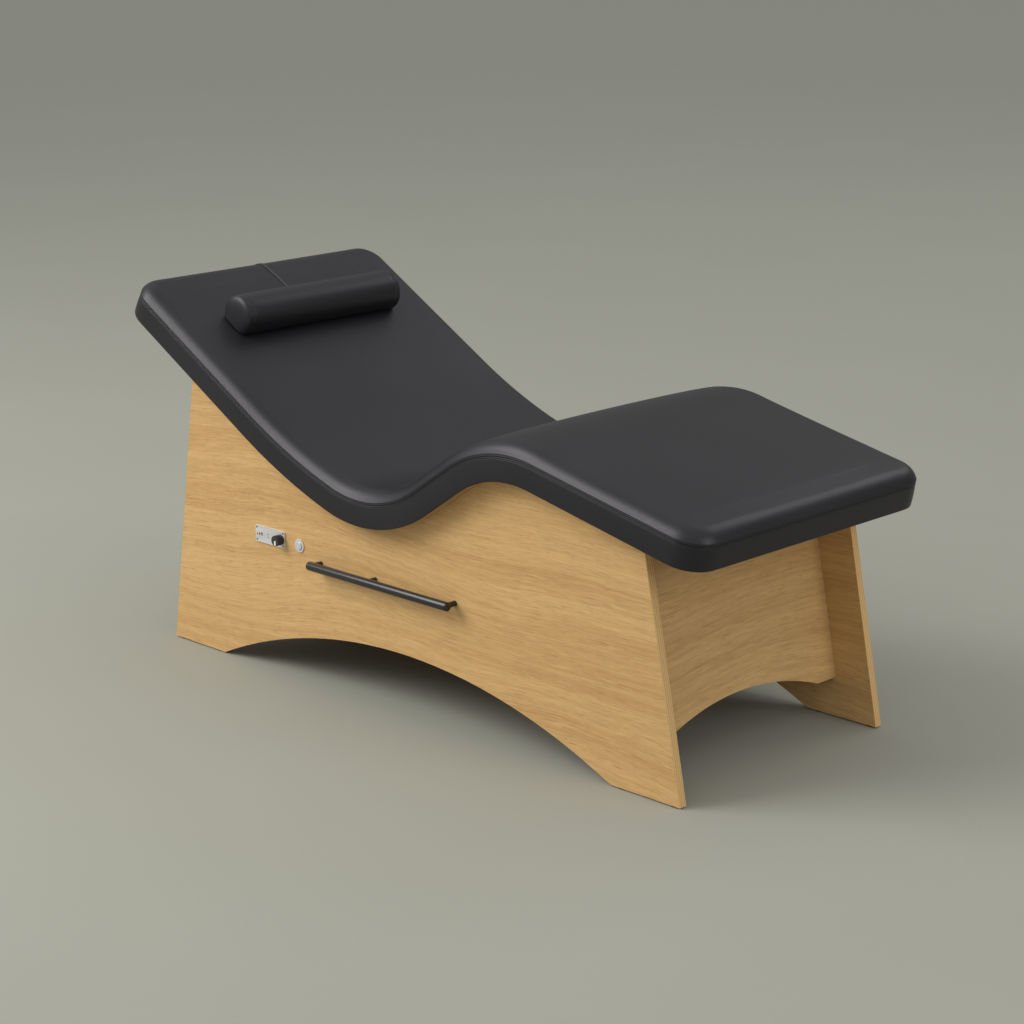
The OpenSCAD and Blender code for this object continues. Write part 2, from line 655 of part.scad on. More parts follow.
module heat_switch() color("dimgray") difference() {
    union() {
        rod_y(knob_x, switch_face_y, switch_face_y + switch_t, controls_z, switch_d / 2);
        rod_y(knob_x, bushing_y, switch_face_y, controls_z, bushing_d / 2);
    }
    rod_y(knob_x, bushing_y - cut, switch_face_y + switch_t / 2, controls_z, shaft_d / 2 + run_gap);
}
module switch_nut() color(zinc) difference() {
    translate([knob_x, plate_y, controls_z]) rotate([90, 0, 0]) cylinder(d = nut_d, h = nut_t, $fn = 6);
    rod_y(knob_x, plate_y - nut_t - cut, plate_y + cut, controls_z, bushing_d / 2);
}
knob_back_y = plate_y - knob_off;
knob_front_y = knob_back_y - knob_h;
module switch_shaft() color(zinc)
    rod_y(knob_x, knob_front_y + knob_wall, switch_face_y + switch_t / 2 - gap, controls_z, shaft_d / 2);
pointer_w = 5;
pointer_l = 11;
pointer_t = 0.8;
// The pointer shows the off position, straight down
pointer_turn = 180;
module at_knob() translate([knob_x, knob_front_y, controls_z]) rotate([90, 0, 0])
    rotate([0, 0, pointer_turn + 90]) children();
module pointer_shape(grow = 0) at_knob()
    translate([0, -pointer_w / 2 - grow, -pointer_t - grow])
    cube([pointer_l + grow, pointer_w + 2 * grow, pointer_t + 2 * grow]);
module heat_knob() color(satin_black) difference() {
    rod_y(knob_x, knob_front_y, knob_back_y, controls_z, knob_d / 2);
    rod_y(knob_x, knob_back_y - nut_t - knob_off, knob_back_y + cut, controls_z, knob_recess_d / 2);
    rod_y(knob_x, knob_front_y + knob_wall, knob_back_y, controls_z, shaft_d / 2 + run_gap);
    for (k = [0 : flute_count - 1]) translate([knob_x, 0, controls_z])
        rotate([0, 360 * k / flute_count, 0])
        rod_y(knob_d / 2, knob_front_y - cut, knob_back_y + cut, 0, flute_d / 2, $fn = 16);
    pointer_shape(run_gap);
}
module knob_pointer() color("white") pointer_shape();

// Push button: a threaded barrel through the panel, held by a ring nut, with a sprung cap
button_mid_x = base_offset + button_x;
barrel_d = 22;
barrel_in = 8;
bezel_t = 2.5;
cap_proud = 2.5;
cap_t = 9;
stem_d = 6;
stem_in = 4;
ring_nut_d = 27;
ring_nut_t = 4;
button_z = controls_z - button_drop;
module rod_button(y0, y1, d) rod_y(button_mid_x, y0, y1, button_z, d / 2);
bezel_y = -base_w / 2 - bezel_t;
barrel_end_y = -inner_y + barrel_in;
cap_front_y = bezel_y - cap_proud;
cap_back_y = cap_front_y + cap_t;
stem_end_y = barrel_end_y + stem_in;
module button_bezel() color(silver) difference() {
    union() {
        rod_button(bezel_y, -base_w / 2, bezel_d);
        rod_button(-base_w / 2, barrel_end_y, barrel_d);
    }
    rod_button(bezel_y - cut, cap_back_y + button_travel + gap, cap_d + 2 * gap);
    rod_button(cap_back_y, barrel_end_y + cut, stem_d + 4 * gap);
}
module button_nut() color(zinc) difference() {
    rod_button(-inner_y, -inner_y + ring_nut_t, ring_nut_d);
    rod_button(-inner_y - cut, -inner_y + ring_nut_t + cut, barrel_d + 2 * run_gap);
}
module button_cap() color(silver) {
    rod_button(cap_front_y, cap_back_y, cap_d);
    rod_button(cap_back_y, stem_end_y, stem_d);
}
button_switch_t = 15;
module button_switch() color("dimgray") difference() {
    rod_button(barrel_end_y, barrel_end_y + button_switch_t, barrel_d);
    rod_button(barrel_end_y - cut, stem_end_y + button_travel + gap, stem_d + 4 * gap);
}

// Control box and power supply on the inner face of the near side panel
box_w = 180;
box_h = 80;
box_d = 45;
box_wall = 2.5;
box_mid_x = plate_mid_x + 65;
box_mid_z = 232;
box_lid_t = 2.5;
board_w = 150;
board_h = 60;
circuit_t = 1.6;
standoff = 6;
box_y = -inner_y;
module box_block(w, h, y0, y1) translate([box_mid_x - w / 2, y0, box_mid_z - h / 2])
    cube([w, y1 - y0, h]);
pillar_w = 8;
side_screw_d = 4;
side_screw_l = 12;
side_screw_head = 7;
box_screw_share = 0.7;
small_screw_d = 2.5;
small_screw_l = 8;
small_screw_head = 4.5;
small_head_t = 1.6;
// A small screw with a flat round head, driven along -Y from the face at y
module small_screw(x, y, z, grow = 0) {
    rod_y(x, y - small_screw_l - grow, y, z, small_screw_d / 2 + grow);
    rod_y(x, y, y + small_head_t, z, small_screw_head / 2);
}
// Children at the four corners of a w by h rectangle in the middle of the box
module at_box_corners(w, h) for (i = [-1, 1]) for (j = [-1, 1])
    translate([box_mid_x + i * w / 2, 0, box_mid_z + j * h / 2]) children();
lid_screw_w = box_w - 2 * box_wall - pillar_w;
lid_screw_h = box_h - 2 * box_wall - pillar_w;
lid_y = box_y + box_d;
module lid_screws_shape(grow = 0)
    at_box_corners(lid_screw_w, lid_screw_h) small_screw(0, lid_y + box_lid_t, 0, grow);
standoff_share_w = 0.9;
standoff_share_h = 0.8;
circuit_y = box_y + box_wall + standoff;
module circuit_screws_shape(grow = 0) at_box_corners(board_w * standoff_share_w, board_h * standoff_share_h)
    small_screw(0, circuit_y + circuit_t, 0, grow);
module side_screws(grow = 0) {
    for (i = [-1, 1])
        translate([box_mid_x + i * box_w * box_screw_share / 2, box_y + box_wall,
            box_mid_z - board_h / 2 - box_wall])
        rotate([-90, 0, 0]) wood_screw(side_screw_d, side_screw_l, side_screw_head, grow);
    for (i = [-1, 1])
        translate([supply_mid_x, box_y + box_wall, box_mid_z + i * (supply_h + supply_ear_h) / 2])
        rotate([-90, 0, 0]) wood_screw(side_screw_d, side_screw_l, side_screw_head, grow);
}
module control_box() color("dimgray") difference() {
    union() {
        difference() {
            box_block(box_w, box_h, box_y, lid_y);
            box_block(box_w - 2 * box_wall, box_h - 2 * box_wall, box_y + box_wall, lid_y + cut);
        }
        at_box_corners(lid_screw_w, lid_screw_h)
            translate([-pillar_w / 2, box_y, -pillar_w / 2]) cube([pillar_w, box_d, pillar_w]);
        at_box_corners(board_w * standoff_share_w, board_h * standoff_share_h)
            rod_y(0, box_y, circuit_y, 0, standoff / 2);
    }
    side_screws(hole_gap);
    lid_screws_shape(hole_gap);
    circuit_screws_shape(hole_gap);
}
module control_box_lid() color("gray") difference() {
    box_block(box_w, box_h, lid_y, lid_y + box_lid_t);
    lid_screws_shape(hole_gap);
}
module lid_screws() color(zinc) lid_screws_shape();
module circuit_screws() color(zinc) circuit_screws_shape();
chip_t = 8;
chip_at_share = 0.3;
module circuit_board() color("seagreen") difference() {
    union() {
        box_block(board_w, board_h, circuit_y, circuit_y + circuit_t);
        box_block(board_w / 4, board_h / 2, circuit_y + circuit_t, circuit_y + circuit_t + chip_t);
        for (i = [-1, 1]) rod_y(box_mid_x + i * board_w * chip_at_share, circuit_y + circuit_t,
            circuit_y + circuit_t + 2 * chip_t, box_mid_z, chip_t);
    }
    circuit_screws_shape(hole_gap);
}
supply_w = 110;
supply_h = 60;
supply_d = 42;
supply_gap = 50;
supply_ear_w = 30;
supply_ear_h = 12;
supply_x1 = box_mid_x - box_w / 2 - supply_gap;
supply_mid_x = supply_x1 - supply_w / 2;
module power_supply() color("darkslategray") difference() {
    union() {
        translate([supply_x1 - supply_w, box_y, box_mid_z - supply_h / 2])
            cube([supply_w, supply_d, supply_h]);
        translate([supply_mid_x - supply_ear_w / 2, box_y, box_mid_z - supply_h / 2 - supply_ear_h])
            cube([supply_ear_w, box_wall, supply_h + 2 * supply_ear_h]);
    }
    side_screws(hole_gap);
}
module box_screws() color(zinc) side_screws();

// Mains inlet through the head end panel, in the panel's own leaning frame
inlet_y = -190;
inlet_z = 236;
inlet_w = 27;
inlet_h = 20;
inlet_flange_w = 50;
inlet_flange_h = 27;
inlet_flange_t = 3;
inlet_back = 8;
socket_w = 23;
socket_h = 16;
socket_d = 18;
pin_w = 4;
pin_t = 2;
pin_l = 15;
pin_pitch = 7;
pin_step = 4;
inlet_screw_d = 3;
inlet_screw_l = 15;
inlet_screw_head = 6;
inlet_screw_y = 20;
module at_inlet() translate([end_x(-1, inlet_z), inlet_y, inlet_z]) rotate([0, head_lean, 0]) children();
module centred_yz(x0, x1, w, h, y = 0, z = 0) translate([x0, y - w / 2, z - h / 2]) cube([x1 - x0, w, h]);
module inlet_screws_shape(grow = 0) at_inlet() for (i = [-1, 1])
    translate([-inlet_flange_t, i * inlet_screw_y, 0]) rotate([0, -90, 0])
        wood_screw(inlet_screw_d, inlet_screw_l, inlet_screw_head, grow);
module pins_shape(grow = 0) {
    x1 = socket_d - inlet_flange_t;
    for (p = [[0, pin_step], [-pin_pitch, -pin_step], [pin_pitch, -pin_step]])
        centred_yz(x1 - pin_l, x1 + pin_w, pin_t + 2 * grow, pin_w + 2 * grow, p[0], p[1]);
}
module mains_inlet() color("black") difference() {
    at_inlet() difference() {
        union() {
            centred_yz(-inlet_flange_t, 0, inlet_flange_w, inlet_flange_h);
            centred_yz(0, panel_t + inlet_back, inlet_w, inlet_h);
        }
        centred_yz(-inlet_flange_t - cut, socket_d - inlet_flange_t, socket_w, socket_h);
        pins_shape();
    }
    inlet_screws_shape(hole_gap);
}
module inlet_pins() color("gold") at_inlet() pins_shape();
module inlet_screws() color(zinc) inlet_screws_shape();

// Cables: round tubes swept along hand-laid routes
tube_sides = 8;
route_steps = 3;
tube_up = [0.36, 0.48, 0.8];
function unit(v) = v / norm(v);
function blend_at(a, b, c, d, t) = 0.5 * (2 * b + (c - a) * t + (2 * a - 5 * b + 4 * c - d) * t * t
    + (3 * b - a - 3 * c + d) * t * t * t);
function smooth(p) = concat([for (i = [0 : len(p) - 2]) each
    [for (k = [0 : route_steps - 1]) blend_at(p[max(i - 1, 0)], p[i], p[i + 1],
        p[min(i + 2, len(p) - 1)], k / route_steps)]], [p[len(p) - 1]]);
function tube_ring(p, t, r) = let (u = unit(cross(t, tube_up)), v = cross(t, u))
    [for (k = [0 : tube_sides - 1]) let (a = 360 * k / tube_sides) p + r * (cos(a) * u + sin(a) * v)];
// A cable stops a loose fit short of the faces that it runs to
function ends_in(p) = let (m = len(p) - 1) concat([p[0] + gap * unit(p[1] - p[0])],
    [for (i = [1 : m - 1]) p[i]], [p[m] + gap * unit(p[m - 1] - p[m])]);
module tube(route, d) {
    p = ends_in(smooth(route));
    m = len(p);
    n = tube_sides;
    polyhedron(points = [for (i = [0 : m - 1]) each
            tube_ring(p[i], unit(p[min(i + 1, m - 1)] - p[max(i - 1, 0)]), d / 2)],
        faces = concat([for (i = [0 : m - 2]) each wall(i, i + 1, n)],
            [[for (k = [0 : n - 1]) k]],
            [[for (k = [n - 1 : -1 : 0]) (m - 1) * n + k]]));
}
cable_y = -inner_y + 24;
thin_cable_d = 5;
inlet_back_x = end_x(-1, inlet_z) + (panel_t + inlet_back) * cos(head_lean);
inlet_back_z = inlet_z - (panel_t + inlet_back) * sin(head_lean);
supply_face_y = box_y + supply_d;
cable_inlet_route = [
    [inlet_back_x, inlet_y, inlet_back_z], [inlet_back_x + 10, inlet_y, inlet_back_z - 1.6],
    [inlet_back_x + 25, inlet_y - 4, inlet_back_z - 4], [inlet_back_x + 42, inlet_y - 20, inlet_back_z - 5],
    [supply_mid_x, supply_face_y + 36, box_mid_z], [supply_mid_x, supply_face_y + 16, box_mid_z],
    [supply_mid_x, supply_face_y, box_mid_z]];
cable_supply_route = [
    [supply_x1, cable_y, box_mid_z], [supply_x1 + 12, cable_y, box_mid_z],
    [supply_x1 + supply_gap / 2, cable_y, box_mid_z - 3],
    [supply_x1 + supply_gap - 12, cable_y, box_mid_z], [supply_x1 + supply_gap, cable_y, box_mid_z]];
box_top_z = box_mid_z + box_h / 2;
switch_back_y = switch_face_y + switch_t;
cable_heat_switch_route = [
    [knob_x, cable_y, box_top_z], [knob_x, cable_y, box_top_z + 10],
    [knob_x, cable_y, controls_z - 24], [knob_x, cable_y - 4, controls_z - 8],
    [knob_x, cable_y - 14, controls_z], [knob_x, switch_back_y + 6, controls_z],
    [knob_x, switch_back_y, controls_z]];
button_back_y = barrel_end_y + button_switch_t;
button_bow = 16;
cable_button_route = [
    [button_mid_x, cable_y, box_top_z], [button_mid_x, cable_y, box_top_z + 10],
    [button_mid_x, cable_y + 4, box_top_z + 20], [button_mid_x, button_back_y + button_bow - 2, button_z - 14],
    [button_mid_x, button_back_y + button_bow - 3, button_z - 4],
    [button_mid_x, button_back_y + 7, button_z], [button_mid_x, button_back_y, button_z]];
heater_x = wave(low_s)[0];
heater_box_x = box_mid_x + box_w / 2;
heater_top_z = seat_under_z + mat_low - gap;
cable_heater_route = [
    [heater_box_x, cable_y, box_mid_z], [heater_box_x + 14, cable_y, box_mid_z],
    [heater_box_x + 48, cable_y, box_mid_z], [heater_x - 60, cable_y, box_mid_z], [heater_x - 22, cable_y + 2, box_mid_z + 6],
    [heater_x - 4, cable_y + 10, box_mid_z + 26], [heater_x, (cable_y + cable_hole_y) / 2, box_mid_z + 80],
    [heater_x, cable_hole_y - 4, box_mid_z + 140], [heater_x, cable_hole_y, seat_under_z - 30],
    [heater_x, cable_hole_y, seat_under_z], [heater_x, cable_hole_y, heater_top_z]];
module cable_inlet() color("black") tube(cable_inlet_route, cable_d);
module cable_supply() color("black") tube(cable_supply_route, cable_d);
module cable_heat_switch() color("black") tube(cable_heat_switch_route, thin_cable_d);
module cable_button() color("black") tube(cable_button_route, thin_cable_d);
module cable_heater() color("black") tube(cable_heater_route, cable_d);

clip_w = 8;
clip_t = 3;
clip_xs = [heater_box_x + 22, heater_x - 74];
module cable_clips() color("white") for (x = clip_xs) difference() {
    union() {
        translate([x, cable_y, box_mid_z]) rotate([0, 90, 0])
            cylinder(d = cable_d + 2 * clip_t, h = clip_w, center = true, $fn = 32);
        translate([x - clip_w / 2, -inner_y, box_mid_z - clip_t / 2])
            cube([clip_w, cable_y + inner_y, clip_t]);
        translate([x - clip_w / 2, -inner_y, box_mid_z - clip_w])
            cube([clip_w, clip_t, 2 * clip_w]);
    }
    translate([x, cable_y, box_mid_z]) rotate([0, 90, 0])
        cylinder(d = cable_d + 2 * gap, h = 2 * clip_w, center = true, $fn = 32);
}

side_panel_near();
side_panel_far();
end_panel_head();
end_panel_foot();
corner_blocks_head();
corner_blocks_foot();
frame_dowels();
block_screws();
batten_head();
batten_back();
batten_seat();
batten_rise();
batten_foot();
batten_brackets();
bracket_screws();
board_screws();
glides();
glide_nails();
bed_board();
foam_base();
heating_mat();
foam_top();
cover_top();
cover_band();
bolster_foam();
bolster_cover();
bolster_piping();
bolster_strap();
strap_stud();
rail_bar();
rail_posts();
rail_bolts();
control_plate();
plate_screws();
heat_switch();
switch_nut();
switch_shaft();
heat_knob();
knob_pointer();
button_bezel();
button_nut();
button_cap();
button_switch();
control_box();
control_box_lid();
lid_screws();
circuit_board();
circuit_screws();
power_supply();
box_screws();
mains_inlet();
inlet_pins();
inlet_screws();
cable_inlet();
cable_supply();
cable_heat_switch();
cable_button();
cable_heater();
cable_clips();
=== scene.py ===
"""The looks of a spa relaxation lounger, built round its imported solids."""

from math import cos, pi, radians, sin, sqrt

import bmesh
import bpy
import numpy as np
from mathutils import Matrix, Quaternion, Vector
from mathutils.bvhtree import BVHTree


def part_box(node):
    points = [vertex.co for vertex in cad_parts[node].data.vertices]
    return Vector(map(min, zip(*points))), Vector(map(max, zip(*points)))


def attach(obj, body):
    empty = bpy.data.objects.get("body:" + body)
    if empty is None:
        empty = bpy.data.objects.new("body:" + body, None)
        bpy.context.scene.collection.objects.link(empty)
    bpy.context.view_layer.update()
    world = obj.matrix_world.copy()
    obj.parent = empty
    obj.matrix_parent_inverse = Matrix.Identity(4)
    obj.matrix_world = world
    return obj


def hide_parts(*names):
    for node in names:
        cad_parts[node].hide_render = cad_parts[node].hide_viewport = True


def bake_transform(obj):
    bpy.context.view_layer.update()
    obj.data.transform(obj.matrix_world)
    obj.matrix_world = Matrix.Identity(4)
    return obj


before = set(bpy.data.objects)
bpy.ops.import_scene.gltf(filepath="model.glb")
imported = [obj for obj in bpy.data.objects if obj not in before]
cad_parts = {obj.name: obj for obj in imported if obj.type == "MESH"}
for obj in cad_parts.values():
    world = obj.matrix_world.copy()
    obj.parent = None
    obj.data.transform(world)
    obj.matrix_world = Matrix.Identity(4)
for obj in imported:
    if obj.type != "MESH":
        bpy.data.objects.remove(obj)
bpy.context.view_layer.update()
MM = 0.001

# ---- Camera, at the photograph's viewing angle ----

VIEW_TURN = 44.74
VIEW_HEIGHT = 15.22
VIEW_ROLL = 0.35
VIEW_LENS = 87.92
VIEW_SENSOR = 36.0
VIEW_PLACE = Vector((3.939, -3.950, 1.922))
VIEW_REACH = 200


def place_camera():
    camera = bpy.data.objects.new("camera", bpy.data.cameras.new("camera"))
    bpy.context.scene.collection.objects.link(camera)
    turn, height = radians(VIEW_TURN), radians(VIEW_HEIGHT)
    back = Vector((sin(turn) * cos(height), -cos(turn) * cos(height), sin(height)))
    camera.location = VIEW_PLACE
    camera.rotation_mode = "QUATERNION"
    level = (-back).to_track_quat("-Z", "Y")
    camera.rotation_quaternion = level @ Quaternion((0, 0, 1), radians(-VIEW_ROLL))
    camera.data.lens = VIEW_LENS
    camera.data.sensor_width = VIEW_SENSOR
    camera.data.clip_end = VIEW_REACH
    bpy.context.scene.camera = camera


# ---- Finishes ----


class Value:
    """A shader value that adds, subtracts, multiplies and divides as a number does."""

    def __init__(self, finish, socket):
        self.finish, self.socket = finish, socket

    def math(self, operation, *others):
        return self.finish.node("ShaderNodeMath", {"operation": operation}, [self, *others])

    def __add__(self, other):
        return self.math("ADD", other)

    def __sub__(self, other):
        return self.math("SUBTRACT", other)

    def __rsub__(self, other):
        return self.finish.node("ShaderNodeMath", {"operation": "SUBTRACT"}, [other, self])

    def __mul__(self, other):
        return self.math("MULTIPLY", other)

    def __truediv__(self, other):
        return self.math("DIVIDE", other)

    __radd__ = __add__
    __rmul__ = __mul__

    def over(self, low, high):
        """0 below low, 1 above high, and a smooth way between them."""
        return self.finish.node("ShaderNodeMapRange", {"interpolation_type": "SMOOTHSTEP"},
                                {"Value": self, "From Min": low, "From Max": high})


class Nodes:
    """A tree of shader nodes, written as plain sums."""

    def __init__(self, tree):
        self.tree = tree

    def set(self, node, inputs):
        pairs = inputs.items() if isinstance(inputs, dict) else enumerate(inputs)
        for key, value in pairs:
            socket = node.inputs[key.replace("_", " ") if isinstance(key, str) else key]
            if isinstance(value, Value):
                self.tree.links.new(value.socket, socket)
            elif isinstance(value, tuple) and len(value) == 3 and socket.type == "RGBA":
                socket.default_value = (*value, 1)
            else:
                socket.default_value = value

    def node(self, kind, settings=None, inputs=(), output=0):
        """Any node: its settings first, then the values or links of its sockets."""
        node = self.tree.nodes.new(kind)
        for key, value in (settings or {}).items():
            setattr(node, key, value)
        self.set(node, inputs)
        return Value(self, node.outputs[output])

    def place(self):
        """The point on the object, as a vector and as its three numbers."""
        point = self.node("ShaderNodeTexCoord", output="Object")
        return point, self.numbers(point)

    def numbers(self, vector):
        return [self.node("ShaderNodeSeparateXYZ", inputs=[vector], output=i) for i in range(3)]

    def vector(self, x, y, z):
        return self.node("ShaderNodeCombineXYZ", inputs=[x, y, z])

    def noise(self, vector, scale=1.0, detail=2.0, roughness=0.5):
        return self.node("ShaderNodeTexNoise", inputs={
            "Vector": vector, "Scale": scale, "Detail": detail, "Roughness": roughness})

    def cells(self, vector, scale, feature):
        return self.node("ShaderNodeTexVoronoi", {"feature": feature}, {
            "Vector": vector, "Scale": scale})

    def mix(self, first, second, share):
        """A colour between two others."""
        return self.node("ShaderNodeMix", {"data_type": "RGBA"}, {
            0: share, 6: first, 7: second}, output=2)


class Finish(Nodes):
    """One procedural material."""

    def __init__(self, name, **shader):
        self.material = bpy.data.materials.new(name)
        self.material.use_nodes = True
        super().__init__(self.material.node_tree)
        self.tree.nodes.clear()
        self.shader = self.tree.nodes.new("ShaderNodeBsdfPrincipled")
        output = self.tree.nodes.new("ShaderNodeOutputMaterial")
        self.tree.links.new(self.shader.outputs[0], output.inputs[0])
        self.set(self.shader, shader)

    def bump(self, height, strength, distance):
        normal = self.node("ShaderNodeBump", inputs={
            "Height": height, "Strength": strength, "Distance": distance})
        self.set(self.shader, {"Normal": normal})

    def colour(self, value):
        self.set(self.shader, {"Base Color": value})

    def roughness(self, value):
        self.set(self.shader, {"Roughness": value})


OAK_PALE = (0.76, 0.50, 0.22)
OAK_LIGHT = (0.665, 0.425, 0.182)
OAK_WARM = (0.525, 0.312, 0.118)
OAK_DARK = (0.310, 0.162, 0.052)
PLY_LIGHT = (0.74, 0.485, 0.215)
PLY_DARK = (0.50, 0.290, 0.105)
PLY_PAIR = 0.0057
END_GRAIN = (900, 90)


def oak_veneer(name, along, through):
    """Oiled oak on plywood: grain along one axis, and edges that show the layers of another."""
    oak = Finish(name, Specular_IOR_Level=0.3)
    xyz = oak.place()[1]
    length, height, depth = xyz[along], xyz[2], xyz[through]

    def grain(per_length, per_ring, seed, *detail):
        """Streaks along the rings, by how many go to a metre of length and of rings."""
        return oak.noise(oak.vector(length * per_length, rings * per_ring, seed), 1, *detail)

    # The log's rings, cut at a slant: tall arches that drift along the sheet
    sway = oak.noise(oak.vector(length * 0.75, height * 1.6, along), 1, 1)
    drift = oak.noise(oak.vector(length * 3.1, height * 8, along + 3), 1, 3, 0.55)
    rings = height + sway * 0.30 + drift * 0.024
    broad = grain(0.5, 15, along + 7, 2)
    bands = grain(0.8, 70, along + 5, 3, 0.6)
    fibre = grain(9, 300, 1, 3, 0.65)
    dash = grain(20, 360, 9, 2, 0.5).over(0.52, 0.66)
    pores = grain(40, 640, 5, 2, 0.55).over(0.55, 0.68)
    pale = grain(13, 150, 13, 1).over(0.58, 0.70)
    warmth = broad.over(0.30, 0.72) * 0.50 + bands.over(0.36, 0.66) * 0.42
    streaks = fibre.over(0.42, 0.75) * 0.30 + dash * 0.23 + pores * 0.24
    streaked = oak.mix(oak.mix(OAK_LIGHT, OAK_WARM, warmth), OAK_DARK, streaks)
    face = oak.mix(streaked, OAK_PALE, pale * 0.30)
    # The cut edges: the plywood's layers, and the ends of their fibres
    fine, coarse = END_GRAIN
    layer = (depth * 2 * pi / PLY_PAIR).math("SINE")
    end_grain = oak.noise(oak.vector(length * fine, height * fine, depth * coarse), 1, 2)
    ply = oak.mix(PLY_LIGHT, PLY_DARK, layer.over(0.2, 0.7) * 0.75 + end_grain * 0.3)
    normal = oak.node("ShaderNodeNewGeometry", output="True Normal")
    on_face = oak.numbers(normal)[through].math("ABSOLUTE").over(0.80, 0.90)
    oak.colour(oak.mix(ply, face, on_face))
    oak.roughness(0.50 - fibre * 0.08 + pores * 0.12)
    oak.bump(fibre * 0.4 - pores * 0.5 - dash * 0.4, 0.3, 0.0005)
    return oak.material


def plain_wood(name, light, dark, along):
    """Planed solid wood or a clear lacquered board, with its grain along one axis."""
    wood = Finish(name, Specular_IOR_Level=0.35)
    xyz = wood.place()[1]
    length, (one, two) = xyz[along], [value for i, value in enumerate(xyz) if i != along]
    grain = wood.noise(wood.vector(length * 3, one * 60, two * 60), 1, 3, 0.6)
    fine = wood.noise(wood.vector(length * 20, one * 500, two * 500), 1, 2)
    wood.colour(wood.mix(light, dark, grain.over(0.35, 0.75) * 0.6 + fine * 0.2))
    wood.roughness(0.55 - grain * 0.12)
    wood.bump(fine, 0.3, 0.0003)
    return wood.material


HIDE_DARK = (0.0072, 0.0068, 0.0084)
HIDE_LIGHT = (0.0112, 0.0106, 0.0126)
THREAD_DARK = (0.014, 0.014, 0.016)
THREAD_LIGHT = (0.045, 0.044, 0.048)


def leatherette():
    """Charcoal upholstery: a fine pebbled grain and a soft sheen that varies a little."""
    hide = Finish("charcoal_leatherette", Specular_IOR_Level=0.42, Specular_Tint=(0.96, 0.93, 1.0))
    point = hide.place()[0]
    warp = hide.noise(point, 60, 2)
    pebbles = hide.cells(point, 620, "SMOOTH_F1")
    creases = hide.cells(point, 240, "DISTANCE_TO_EDGE").over(0.0, 0.12)
    cloud = hide.noise(point, 3.2, 3, 0.6)
    hide.colour(hide.mix(HIDE_DARK, HIDE_LIGHT, cloud.over(0.3, 0.7) * 0.7 + warp * 0.3))
    hide.roughness(0.345 + cloud * 0.08 + pebbles * 0.05)
    hide.bump(creases * 0.6 - pebbles * 0.7 + warp * 0.3, 0.25, 0.0004)
    return hide.material


def thread():
    """Bonded sewing thread, a shade lighter than the cover."""
    yarn = Finish("seam_thread", Specular_IOR_Level=0.4)
    twist = yarn.noise(yarn.place()[0], 2600, 2)
    yarn.colour(yarn.mix(THREAD_DARK, THREAD_LIGHT, twist))
    yarn.roughness(0.5 + twist * 0.15)
    return yarn.material


def coated(name, colour, rough, grain=900.0, strength=0.2):
    """Powder coat or moulded plastic: one colour, with a fine texture in its gloss."""
    coat = Finish(name, Specular_IOR_Level=0.5)
    point = coat.place()[0]
    speck = coat.noise(point, grain, 3, 0.6)
    cloud = coat.noise(point, 14, 2)
    lighter = tuple(min(1.0, c * 1.35 + 0.004) for c in colour)
    coat.colour(coat.mix(colour, lighter, speck * 0.4 + cloud * 0.3))
    coat.roughness(rough - 0.06 + speck * 0.08 + cloud * 0.06)
    coat.bump(speck, strength, 0.0002)
    return coat.material


def metal(name, colour, rough, stretch=(1.0, 1.0, 1.0), grain=400.0, bare_share=1.0):
    """Metal, brushed along the axis with the smallest stretch; a lacquered one is less bare."""
    bare = Finish(name, Metallic=bare_share)
    point, xyz = bare.place()
    stretched = bare.vector(*(value * s for value, s in zip(xyz, stretch)))
    lines = bare.noise(stretched, grain, 3, 0.6)
    cloud = bare.noise(point, 30, 2)
    darker = tuple(c * 0.80 for c in colour)
    bare.colour(bare.mix(darker, colour, lines * 0.7 + cloud * 0.3))
    bare.roughness(rough - 0.08 + lines * 0.16)
    bare.bump(lines, 0.25, 0.0001)
    return bare.material


def turned_metal(name, colour, rough, centre):
    """Lacquered metal faced on a lathe: fine rings round an axis that runs along Y."""
    faced = Finish(name, Metallic=0.55)
    x, _, z = faced.place()[1]
    out_x, out_z = x - centre[0], z - centre[2]
    radius = (out_x * out_x + out_z * out_z).math("SQRT")
    rings = faced.noise(faced.vector(radius * 2600, 0, 0), 1, 2, 0.6)
    faced.colour(faced.mix(tuple(c * 0.82 for c in colour), colour, rings))
    faced.roughness(rough - 0.06 + rings * 0.12)
    faced.bump(rings, 0.2, 0.0001)
    return faced.material


X, Y, Z = range(3)
SILVER = (0.80, 0.80, 0.81)
BEECH = (0.60, 0.41, 0.24), (0.44, 0.27, 0.14)

